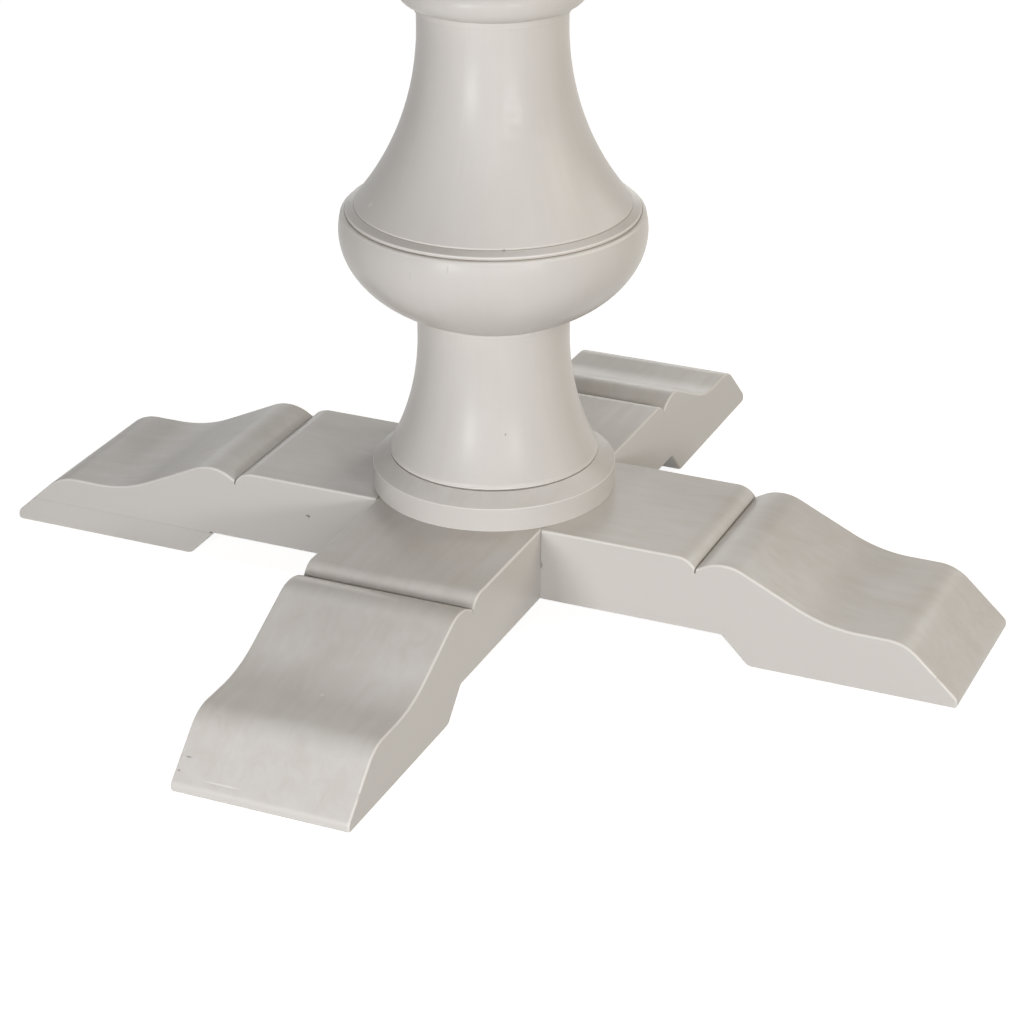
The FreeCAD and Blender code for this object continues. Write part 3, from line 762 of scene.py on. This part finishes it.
def bearer(name, sizes, notch_bottom, notch_top):
    """A bearer along X: tapered at its ends, notched, and drilled for the table top."""
    half = bearer_high.x
    top = bearer_high.z
    tip = top - sizes.tip_depth
    corners = [
        (half, top),
        (-half, top),
        (-half, tip),
        (sizes.taper - half, bearer_low.z),
        (half - sizes.taper, bearer_low.z),
        (half, tip),
    ]
    outline = rounded_outline([(Vector(corner), sizes.corner_radius) for corner in corners])
    width = bearer_high.y - bearer_low.y
    piece = board(name, outline, width, sizes.arris_radius)
    notch(piece, width, 0.0, notch_bottom, notch_top)
    for x in (-sizes.top_screw_reach, sizes.top_screw_reach):
        bore(piece, sizes.top_screw_hole / 2, bearer_low.z - OVERCUT, top + OVERCUT, x)
        bore(piece, sizes.top_screw_pocket / 2, bearer_low.z - OVERCUT, top - sizes.top_screw_seat, x)
    return piece


def threaded_rod(name, sizes):
    """The tie rod, with a thread cut on both ends and a plain shank between."""
    crest = rod_high.x
    step = sizes.thread_pitch / THREAD_ROWS
    rows = round(sizes.thread_length / step)
    lower = [rod_low.z + step * row for row in range(rows + 1)]
    upper = [rod_high.z - step * row for row in range(rows, -1, -1)]
    rings = []
    for height in lower + upper:
        from_end = min(height - rod_low.z, rod_high.z - height)
        outside = crest - max(0.0, sizes.rod_chamfer - from_end)
        ring = []
        for turn in directions_round():
            phase = (height / sizes.thread_pitch - turn / (2 * math.pi)) % 1
            radius = crest - sizes.thread_depth * abs(2 * phase - 1)
            radius = min(radius, outside)
            ring.append(Vector((radius * math.cos(turn), radius * math.sin(turn), height)))
        rings.append(ring)
    return skinned(name, rings)


def recessed_screws(name, sizes):
    """The four bearer screws, each with a cross recess in its head."""
    screws = []
    for x, y in around_axis(sizes.screw_circle):
        screw = spindle(name, screw_levels(sizes, 0.0), x, y)
        reach = Vector((sizes.recess_width / 2, sizes.recess_slot / 2, 0))
        for slot in (reach, reach.yxz):
            bottom = Vector((x - slot.x, y - slot.y, screw_high.z - sizes.recess_depth))
            top = Vector((x + slot.x, y + slot.y, screw_high.z + OVERCUT))
            carve(screw, block("cutter", bottom, top))
        screws.append(screw)
    first = screws[0]
    with bpy.context.temp_override(active_object=first, selected_editable_objects=screws):
        bpy.ops.object.join()
    first.name = name
    return first


# Materials


# Sockets of a colour mix: its share and its two colours
SHARE, FIRST, SECOND = 0, 6, 7
NOISE_MIDDLE = 0.5          # what a noise pattern strays from, up and down
COAT_SPREAD = 0.25          # how far it strays where the coat is thickest or thinnest
SOFT_DETAIL = 2.0           # octaves of a cloudy pattern
FINE_DETAIL = 4.0           # octaves of a pattern with finer marks in it
STROKE_WAVER = 0.8          # how unsteadily the strokes run
MARK_CORE = 0.4             # share of a mark's size inside which it has its full strength
SLOPE_BARE = 0.3            # upward share of the normal below which a face shows no strokes
SLOPE_BRUSHED = 0.7         # upward share of the normal above which it shows them all
TYPICAL_GIRTH = 0.65        # the column's usual radius, as a share of the bulb's


def new_material(name):
    """An empty material and its node tree."""
    material = bpy.data.materials.new(name)
    material.use_nodes = True
    material.node_tree.nodes.clear()
    return material, material.node_tree


def add_node(tree, kind, inputs=None, **settings):
    """Add a shader node with its settings; an input is a value, or an output or a node to link."""
    node = tree.nodes.new("ShaderNode" + kind)
    for name, value in settings.items():
        setattr(node, name, value)
    for socket, value in (inputs or {}).items():
        if isinstance(value, bpy.types.Node):
            value = next(output for output in value.outputs if output.enabled)
        if isinstance(value, bpy.types.NodeSocket):
            tree.links.new(value, node.inputs[socket])
        else:
            node.inputs[socket].default_value = value
    return node


def finish_material(tree, **inputs):
    """The surface shader with these inputs, linked to the output."""
    sockets = {name.replace("_", " "): value for name, value in inputs.items()}
    shader = add_node(tree, "BsdfPrincipled", sockets)
    add_node(tree, "OutputMaterial", {"Surface": shader})


def bristle_places(tree, finishes, along):
    """Places measured in brush strokes: stretched along an axis of the board, or up a turning."""
    # Single bristle marks are too fine for the eye at this distance, so whole strokes are drawn
    place = add_node(tree, "TexCoord").outputs["Object"]
    fine = 1 / finishes.stroke_width
    long = 1 / finishes.stroke_length
    scales = {"X": (long, fine, fine), "Y": (fine, long, fine), "UP": (0, 0, long)}
    stretched = add_node(tree, "VectorMath", {0: place, 1: scales[along]}, operation="MULTIPLY")
    if along != "UP":
        return place, stretched
    # Up a turning the strokes are counted round its girth, so that they run unbroken from neck to bulb
    strokes_round = TYPICAL_GIRTH * column_high.x * fine
    level = add_node(tree, "VectorMath", {0: place, 1: (1, 1, 0)}, operation="MULTIPLY")
    direction = add_node(tree, "VectorMath", {0: level}, operation="NORMALIZE")
    girth = add_node(tree, "VectorMath", {0: direction, "Scale": strokes_round}, operation="SCALE")
    return place, add_node(tree, "VectorMath", {0: stretched, 1: girth}, operation="ADD")


def facing_up(tree, share):
    """That share on faces that look up, falling to 0 on upright ones."""
    normal = add_node(tree, "NewGeometry").outputs["True Normal"]
    upward = add_node(tree, "SeparateXYZ", {"Vector": normal}).outputs["Z"]
    return add_node(
        tree,
        "MapRange",
        {"Value": upward, "From Min": SLOPE_BARE, "From Max": SLOPE_BRUSHED, "To Max": share},
    )


def brushed_coat(tree, finishes, place, strokes, shown):
    """The paint's colour, which varies a little with its strokes and cloudy patches where they show."""
    patches = add_node(
        tree,
        "TexNoise",
        {"Vector": place, "Scale": 1 / finishes.mottle_size, "Detail": SOFT_DETAIL},
    )
    both = add_node(tree, "Math", {0: strokes, 1: patches}, operation="ADD")
    centred = add_node(tree, "Math", {0: both, 1: 2 * NOISE_MIDDLE}, operation="SUBTRACT")
    uneven = add_node(tree, "Math", {0: centred, 1: shown, 2: NOISE_MIDDLE}, operation="MULTIPLY_ADD")
    thin = add_node(
        tree,
        "MapRange",
        {"Value": uneven, "From Min": NOISE_MIDDLE - COAT_SPREAD, "From Max": NOISE_MIDDLE + COAT_SPREAD},
    )
    return add_node(
        tree,
        "Mix",
        {SHARE: thin, FIRST: finishes.paint, SECOND: finishes.paint_thin},
        data_type="RGBA",
    )


def worn_and_shaded_coat(tree, finishes, coat):
    """The coat, paler on sharp arrises, as rubbed wear and a painted highlight, and darker in tight
    creases, as painted shade.
    """
    rub_highlight_and_shade = add_node(tree, "Attribute", attribute_name="rub_highlight_and_shade").outputs["Fac"]
    # Sharp arrises are painted paler, as wear and a highlight; tight creases are painted darker, as shade
    for full_shift, edge_or_crease_colour in ((1.0, finishes.rubbed_and_highlit_paint), (-1.0, finishes.crease_shade_and_crack)):
        share = add_node(tree, "MapRange", {"Value": rub_highlight_and_shade, "From Min": 0.0, "From Max": full_shift})
        coat = add_node(tree, "Mix", {SHARE: share, FIRST: coat, SECOND: edge_or_crease_colour}, data_type="RGBA")
    return coat


def uneven_place(tree, place, finishes):
    """Places shifted a little, so that the edge of a mark wanders."""
    wander = add_node(tree, "TexNoise", {"Vector": place, "Scale": 1 / finishes.nick_grain})
    middle = (NOISE_MIDDLE, NOISE_MIDDLE, NOISE_MIDDLE)
    centred = add_node(tree, "VectorMath", {0: wander.outputs["Color"], 1: middle}, operation="SUBTRACT")
    shift = add_node(tree, "VectorMath", {0: centred, "Scale": finishes.nick_grain}, operation="SCALE")
    return add_node(tree, "VectorMath", {0: place, 1: shift}, operation="ADD")


def mark_mask(tree, place, centre, radii, strength):
    """Up to strength inside a small round or long mark, and 0 outside it."""
    offset = add_node(tree, "VectorMath", {0: place, 1: centre}, operation="SUBTRACT")
    scale = tuple(1 / radius for radius in radii)
    unit = add_node(tree, "VectorMath", {0: offset, 1: scale}, operation="MULTIPLY")
    distance = add_node(tree, "VectorMath", {0: unit}, operation="LENGTH")
    return add_node(
        tree,
        "MapRange",
        {"Value": distance, "From Min": 1.0, "From Max": MARK_CORE, "To Max": strength},
        interpolation_type="SMOOTHSTEP",
    )


def marked_coat(tree, finishes, place, marks, coat, normal):
    """The coat and its surface with small marks sunk into them."""
    place = uneven_place(tree, place, finishes)
    for centre, radii, colour_name, strength in marks:
        mask = mark_mask(tree, place, centre, radii, strength)
        mark = getattr(finishes, colour_name)
        coat = add_node(tree, "Mix", {SHARE: mask, FIRST: coat, SECOND: mark}, data_type="RGBA")
        normal = add_node(
            tree,
            "Bump",
            {"Height": mask, "Distance": finishes.nick_depth, "Normal": normal},
            invert=True,
        )
    return coat, normal


def satin_paint(name, along, brushed, marks=()):
    """Satin alkyd paint, brushed on sanded wood: an even greige with faint bristle marks that catch
    the light along the stroke, cloudy patches, paler arrises as rubbed wear and a painted highlight,
    creases painted darker as shade, and a few nicks."""
    finishes = bpy.context.scene.table_base.finishes
    material, tree = new_material(name)
    place, bristles = bristle_places(tree, finishes, along)
    strokes = add_node(
        tree,
        "TexNoise",
        {"Vector": bristles, "Scale": 1.0, "Detail": FINE_DETAIL, "Distortion": STROKE_WAVER},
    )
    shown = brushed if along == "UP" else facing_up(tree, brushed)
    coat = worn_and_shaded_coat(tree, finishes, brushed_coat(tree, finishes, place, strokes, shown))
    normal = add_node(
        tree,
        "Bump",
        {"Strength": shown, "Height": strokes, "Distance": finishes.stroke_height},
    )
    if marks:
        coat, normal = marked_coat(tree, finishes, place, marks, coat, normal)
    spread = finishes.stroke_roughness / 2 * brushed
    dull = finishes.paint_roughness + spread
    roughness = add_node(
        tree,
        "MapRange",
        {"Value": strokes, "To Min": finishes.paint_roughness - spread, "To Max": dull},
    )
    finish_material(
        tree,
        Base_Color=coat,
        Roughness=roughness,
        Specular_IOR_Level=finishes.paint_specular,
        Normal=normal,
    )
    return material


def zinc_plated_steel(name):
    """Steel with bright zinc plating: a pale metal with slightly duller patches."""
    finishes = bpy.context.scene.table_base.finishes
    material, tree = new_material(name)
    place = add_node(tree, "TexCoord").outputs["Object"]
    patches = add_node(
        tree,
        "TexNoise",
        {"Vector": place, "Scale": 1 / finishes.zinc_grain, "Detail": SOFT_DETAIL},
    )
    plating = add_node(
        tree,
        "Mix",
        {SHARE: patches, FIRST: finishes.zinc, SECOND: finishes.zinc_dull},
        data_type="RGBA",
    )
    bright = finishes.zinc_roughness
    dull = finishes.zinc_dull_roughness
    roughness = add_node(tree, "MapRange", {"Value": patches, "To Min": bright, "To Max": dull})
    finish_material(tree, Base_Color=plating, Roughness=roughness, Metallic=1.0)
    return material


def bare_beech(name):
    """Planed beech without a finish: pale brown with short dark flecks along the grain."""
    finishes = bpy.context.scene.table_base.finishes
    across = 1 / finishes.beech_fleck
    along = 1 / finishes.beech_fleck_length
    material, tree = new_material(name)
    place = add_node(tree, "TexCoord").outputs["Object"]
    grain = add_node(tree, "VectorMath", {0: place, 1: (across, across, along)}, operation="MULTIPLY")
    flecks = add_node(tree, "TexNoise", {"Vector": grain, "Scale": 1.0, "Detail": SOFT_DETAIL})
    wood = add_node(
        tree,
        "Mix",
        {SHARE: flecks, FIRST: finishes.beech, SECOND: finishes.beech_dark},
        data_type="RGBA",
    )
    normal = add_node(tree, "Bump", {"Height": flecks, "Distance": finishes.stroke_height})
    finish_material(tree, Base_Color=wood, Roughness=finishes.beech_roughness, Normal=normal)
    return material


def seen_directly(tree):
    """1 for what the camera sees, also in a reflection or through glass, and 0 for light on surfaces."""
    path = add_node(tree, "LightPath")
    seen = path.outputs["Is Camera Ray"]
    for ray in ("Is Glossy Ray", "Is Transmission Ray"):
        seen = add_node(tree, "Math", {0: seen, 1: path.outputs[ray]}, operation="MAXIMUM")
    return seen


def matte_floor(name, stage):
    """Matte white studio floor: it shows the object's soft shadow, and to the camera it is white."""
    material, tree = new_material(name)
    matte = add_node(tree, "BsdfDiffuse", {"Color": stage.floor})
    lift = add_node(tree, "Emission", {"Strength": stage.floor_lift})
    lifted = add_node(tree, "AddShader", {0: matte, 1: lift})
    surface = add_node(tree, "MixShader", {0: seen_directly(tree), 1: matte, 2: lifted})
    add_node(tree, "OutputMaterial", {"Surface": surface})
    return material


# Marks on the paint: (centre, radii, colour, strength), each where the surface carries it
LOWER_BEAM_MARKS = [
    ((-0.1403, -0.0750, 0.0591), (0.0028, 0.0030, 0.0012), "grime", 0.7),
    ((-0.1395, -0.0750, 0.0585), (0.0010, 0.0030, 0.0024), "grime", 0.5),
    ((-0.2361, -0.0749, 0.0246), (0.0016, 0.0030, 0.0012), "grime", 0.9),
    ((0.0757, -0.0750, 0.0560), (0.0014, 0.0030, 0.0040), "grime", 0.5),
    ((-0.3620, -0.0238, 0.0500), (0.0090, 0.0006, 0.0030), "rubbed_and_highlit_paint", 0.8),
]
UPPER_BEAM_MARKS = [
    ((0.0043, -0.3346, 0.0509), (0.0022, 0.0022, 0.0030), "rubbed_and_highlit_paint", 0.8),
]
FRONT_PAD_MARKS = [
    ((-0.0675, -0.4156, 0.0236), (0.0030, 0.0014, 0.0014), "grime", 0.5),
    ((-0.0715, -0.4246, 0.0157), (0.0014, 0.0012, 0.0012), "grime", 0.5),
    ((-0.0330, -0.4278, 0.0128), (0.0190, 0.0012, 0.0012), "rubbed_and_highlit_paint", 0.7),
]
COLUMN_MARKS = [
    ((0.0162, -0.1250, 0.3250), (0.0006, 0.0030, 0.0045), "crease_shade_and_crack", 0.25),
    ((-0.0160, -0.1257, 0.3155), (0.0006, 0.0030, 0.0050), "crease_shade_and_crack", 0.2),
    ((-0.0742, -0.0763, 0.3492), (0.0030, 0.0030, 0.0030), "rubbed_and_highlit_paint", 0.7),
    ((0.0536, -0.1005, 0.3382), (0.0022, 0.0022, 0.0012), "grime", 0.5),
    ((0.0376, -0.0615, 0.1616), (0.0008, 0.0020, 0.0008), "grime", 0.7),
]
# Knocks on the upper flare
COLUMN_DENTS = [
    Vector((0.0429, -0.0545, 0.4250)),
    Vector((0.0411, -0.0524, 0.4363)),
    Vector((0.0404, -0.0604, 0.4142)),
]


# Stage


def view_axes(azimuth, elevation):
    """Right, up and back of something that looks at the column from a direction."""
    level = math.cos(elevation)
    back = Vector((math.sin(azimuth) * level, -math.cos(azimuth) * level, math.sin(elevation)))
    right = Vector((math.cos(azimuth), math.sin(azimuth), 0))
    return right, back.cross(right), back


def placed(axes, place):
    """The placement with these axes at a place."""
    return Matrix.Translation(place) @ Matrix(axes).transposed().to_4x4()


# Soft boxes: name, azimuth from the front towards the right arm and elevation in degrees, distance and
# size, share of white that it lights a card to, and colour
SOFT_BOXES = [
    ("left_soft_box", -6.5, 5, 2.2, 0.40, 0.43, "#FAFBFF"),
    ("right_soft_box", 50, 9, 2.2, 0.24, 0.25, "#FAFBFF"),
    ("front_soft_box", 23.5, 12, 4.0, 2.6, 0.42, "#FAFBFF"),
    ("side_soft_box", 102, 26, 1.8, 0.6, 0.15, "#FFEFD8"),
    ("rear_soft_box", 140, 30, 1.8, 0.8, 0.28, "#FFFEFA"),
    ("back_soft_box", 203.5, 6, 4.0, 2.6, 0.20, "#FFFFFF"),
    ("top_soft_box", 23.5, 86, 2.2, 0.35, 0.14, "#FFFFFF"),
]


# Operators


class AddFloorBeams(bpy.types.Operator):
    """Add the two floor beams, half-lapped across each other"""

    bl_idname = "table_base.add_floor_beams"
    bl_label = "Floor beams"

    def execute(self, context):
        settings = context.scene.table_base
        sizes = settings.beams
        hole = bore_radius(settings.column)
        lap = (sizes.pad_thickness + sizes.beam_top) / 2
        brushed = settings.finishes.board_strokes

        lower = beam_above_pads("floor_beam_lower", sizes)
        notch(lower, sizes.arm_width, sizes.joint_gap, lap, sizes.beam_top + OVERCUT)
        bore(lower, hole, sizes.pad_thickness - OVERCUT, lap + OVERCUT)
        pocket_top = washer_low.z + settings.hardware.washer_thickness
        bore(lower, nut_pocket_radius(settings.hardware), sizes.pad_thickness - OVERCUT, pocket_top)
        paint = satin_paint("satin_paint_brushed_along_lower_beam", "X", brushed, LOWER_BEAM_MARKS)
        fit(lower, paint, "painted_wood", "lower_beam")

        upper = beam_above_pads("floor_beam_upper", sizes)
        notch(upper, sizes.arm_width, sizes.joint_gap, sizes.pad_thickness - OVERCUT, lap)
        turn_quarters(upper, 1)
        bore(upper, hole, lap - OVERCUT, sizes.beam_top + OVERCUT)
        dowel_holes(upper, settings.hardware, dowel_low.z, sizes.beam_top + OVERCUT)
        paint = satin_paint("satin_paint_brushed_along_upper_beam", "Y", brushed, UPPER_BEAM_MARKS)
        fit(upper, paint, "painted_wood", "upper_beam")
        return {"FINISHED"}


class AddFootPads(bpy.types.Operator):
    """Add the four pads glued under the ends of the beams"""

    bl_idname = "table_base.add_foot_pads"
    bl_label = "Foot pads"

    def execute(self, context):
        sizes = context.scene.table_base.beams
        brushed = context.scene.table_base.finishes.board_strokes
        along_x = satin_paint("satin_paint_brushed_along_side_pads", "X", brushed)
        along_y = satin_paint("satin_paint_brushed_along_end_pads", "Y", brushed, FRONT_PAD_MARKS)
        pads = [
            ("right", 1, 0, along_x, sizes.glue_line),
            ("left", -1, 0, along_x, sizes.open_glue_line),
            ("back", 1, 1, along_y, sizes.glue_line),
            ("front", -1, 1, along_y, sizes.glue_line),
        ]
        for side, end, quarters, paint, seam in pads:
            pad = foot_pad("floor_pad_" + side, sizes, end, seam)
            turn_quarters(pad, quarters)
            fit(pad, paint, "painted_wood", "foot_pad_" + side)
        return {"FINISHED"}


class AddPlinth(bpy.types.Operator):
    """Add the round plinth disc between the cross and the column"""

    bl_idname = "table_base.add_plinth"
    bl_label = "Plinth disc"

    def execute(self, context):
        settings = context.scene.table_base
        sizes = settings.column
        disc = turning("plinth", plinth_section(sizes), sizes.ripple_depth, sizes.ripple_length)
        dowel_holes(disc, settings.hardware, plinth_low.z - OVERCUT, plinth_high.z + OVERCUT)
        paint = satin_paint("satin_paint_brushed_across_plinth", "Y", settings.finishes.plinth_strokes)
        fit(disc, paint, "painted_wood", "plinth_disc")
        return {"FINISHED"}


class AddColumn(bpy.types.Operator):
    """Add the turned column with its flares, bulb and ring"""

    bl_idname = "table_base.add_column"
    bl_label = "Column"

    def execute(self, context):
        settings = context.scene.table_base
        sizes = settings.column
        hardware = settings.hardware
        dents = [(centre, sizes.dent_radius, sizes.dent_depth) for centre in COLUMN_DENTS]
        section = column_section(sizes)
        column = turning("turned_column", section, sizes.ripple_depth, sizes.ripple_length, dents)
        dowel_holes(column, hardware, column_low.z - OVERCUT, dowel_high.z + hardware.dowel_end_gap)
        screw_holes(column, hardware)
        brushed = settings.finishes.turning_strokes
        paint = satin_paint("satin_paint_brushed_up_column", "UP", brushed, COLUMN_MARKS)
        fit(column, paint, "painted_wood", "column")
        return {"FINISHED"}


class AddBearers(bpy.types.Operator):
    """Add the two half-lapped bearers under a table top"""

    bl_idname = "table_base.add_bearers"
    bl_label = "Bearers"

    def execute(self, context):
        settings = context.scene.table_base
        hardware = settings.hardware
        bottom = bearer_low.z
        top = bearer_high.z
        lap = (bottom + top) / 2
        seat = washer_high.z - hardware.washer_thickness
        laps = [("lower", 0, "X", lap, top + OVERCUT), ("upper", 1, "Y", bottom - OVERCUT, lap)]
        for level, quarters, along, notch_bottom, notch_top in laps:
            piece = bearer("top_bearer_" + level, settings.bearers, notch_bottom, notch_top)
            turn_quarters(piece, quarters)
            bore(piece, bore_radius(settings.column), bottom - OVERCUT, top + OVERCUT)
            bore(piece, nut_pocket_radius(hardware), seat, top + OVERCUT)
            screw_holes(piece, hardware)
            brushed = settings.finishes.board_strokes
            paint = satin_paint(f"satin_paint_brushed_along_{level}_bearer", along, brushed)
            fit(piece, paint, "painted_wood", level + "_bearer")
        return {"FINISHED"}


class AddHardware(bpy.types.Operator):
    """Add the threaded tie rod and the screws, and finish the nuts, washers and dowels"""

    bl_idname = "table_base.add_hardware"
    bl_label = "Hardware"

    def execute(self, context):
        sizes = context.scene.table_base.hardware
        zinc = zinc_plated_steel("zinc_plated_steel")
        fit(threaded_rod("threaded_tie_rod", sizes), zinc, "zinc_plated_steel", "tie_rod")
        fit(recessed_screws("recessed_bearer_screws", sizes), zinc, "zinc_plated_steel", "bearer_screws")
        beech = bare_beech("bare_beech")
        kept = {"tie_rod_nuts": zinc, "tie_rod_washers": zinc, "locating_dowels": beech}
        for node, material in kept.items():
            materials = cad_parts[node].data.materials
            materials.clear()
            materials.append(material)
        return {"FINISHED"}


class SetStage(bpy.types.Operator):
    """Set up the floor, the light and the camera"""

    bl_idname = "table_base.set_stage"
    bl_label = "Stage"

    def execute(self, context):
        stage = context.scene.table_base.stage
        context.scene.view_settings.view_transform = "Standard"
        self.lay_floor(stage)
        self.light_room(context.scene, stage)
        for soft_box in SOFT_BOXES:
            self.hang_soft_box(stage, *soft_box)
        self.place_camera(context.scene, stage)
        return {"FINISHED"}

    def lay_floor(self, stage):
        """A plain square floor under the base."""
        half = stage.floor_size / 2
        corners = [(-half, -half, 0), (half, -half, 0), (half, half, 0), (-half, half, 0)]
        floor = new_piece("floor", corners, [(0, 1, 2, 3)])
        floor.data.materials.append(matte_floor("matte_white_floor", stage))

    def light_room(self, scene, stage):
        """A white room to the eye, and a softer, slightly warm light from all round."""
        world = bpy.data.worlds.new("studio_room")
        world.use_nodes = True
        tree = world.node_tree
        tree.nodes.clear()
        lit = add_node(tree, "Background", {"Color": stage.ambient, "Strength": stage.ambient_strength})
        white = add_node(tree, "Background", {"Color": (1, 1, 1, 1)})
        room = add_node(tree, "MixShader", {0: seen_directly(tree), 1: lit, 2: white})
        add_node(tree, "OutputWorld", {"Surface": room})
        scene.world = world

    def hang_soft_box(self, stage, name, azimuth, elevation, distance, size, share, hex_code):
        """A square soft box, aimed at the column's axis, that lights a white card there to its share."""
        light = bpy.data.lights.new(name, "AREA")
        light.size = size
        light.energy = share * stage.light_level * math.pi ** 2 * distance ** 2
        light.color = linear(hex_code)[:3]
        lamp = bpy.data.objects.new(name, light)
        lamp.visible_camera = False
        axes = view_axes(math.radians(azimuth), math.radians(elevation))
        lamp.matrix_world = placed(axes, Vector((0, 0, stage.box_aim)) + axes[2] * distance)
        bpy.context.scene.collection.objects.link(lamp)

    def place_camera(self, scene, stage):
        """A camera that looks down on the base between its front and right arms."""
        camera = bpy.data.cameras.new("camera")
        camera.lens = stage.lens
        axes = view_axes(stage.camera_azimuth, stage.camera_elevation)
        place = axes[0] * stage.aim_right + axes[1] * stage.aim_up + axes[2] * stage.camera_distance
        holder = bpy.data.objects.new("camera", camera)
        holder.matrix_world = placed(axes, place)
        scene.collection.objects.link(holder)
        scene.camera = holder


class TableBasePanel(bpy.types.Panel):
    """The steps of the table base and their settings"""

    bl_idname = "VIEW3D_PT_table_base"
    bl_label = "Table Base"
    bl_space_type = "VIEW_3D"
    bl_region_type = "UI"
    bl_category = "Table Base"

    def draw(self, context):
        settings = context.scene.table_base
        for step in STEPS:
            self.layout.operator(step.bl_idname)
        for group in GROUPS:
            box = self.layout.box()
            box.label(text=group.capitalize())
            members = getattr(settings, group)
            for name in members.bl_rna.properties.keys():
                if name not in ("name", "rna_type"):
                    box.prop(members, name)


STEPS = [AddFloorBeams, AddFootPads, AddPlinth, AddColumn, AddBearers, AddHardware, SetStage]
GROUPS = list(TableBaseSettings.__annotations__)
CLASSES = [
    BeamSizes,
    ColumnSizes,
    BearerSizes,
    HardwareSizes,
    Finishes,
    StageSettings,
    TableBaseSettings,
    *STEPS,
    TableBasePanel,
]


def register():
    """Make the settings, the operators and the panel known to Blender."""
    for member in CLASSES:
        bpy.utils.register_class(member)
    bpy.types.Scene.table_base = PointerProperty(type=TableBaseSettings)


def unregister():
    """Take back what register added."""
    del bpy.types.Scene.table_base
    for member in reversed(CLASSES):
        bpy.utils.unregister_class(member)


def main():
    """Build the base and its stage."""
    register()
    bpy.ops.table_base.add_floor_beams()
    bpy.ops.table_base.add_foot_pads()
    bpy.ops.table_base.add_plinth()
    bpy.ops.table_base.add_column()
    bpy.ops.table_base.add_bearers()
    bpy.ops.table_base.add_hardware()
    bpy.ops.table_base.set_stage()


if __name__ == "__main__":
    main()
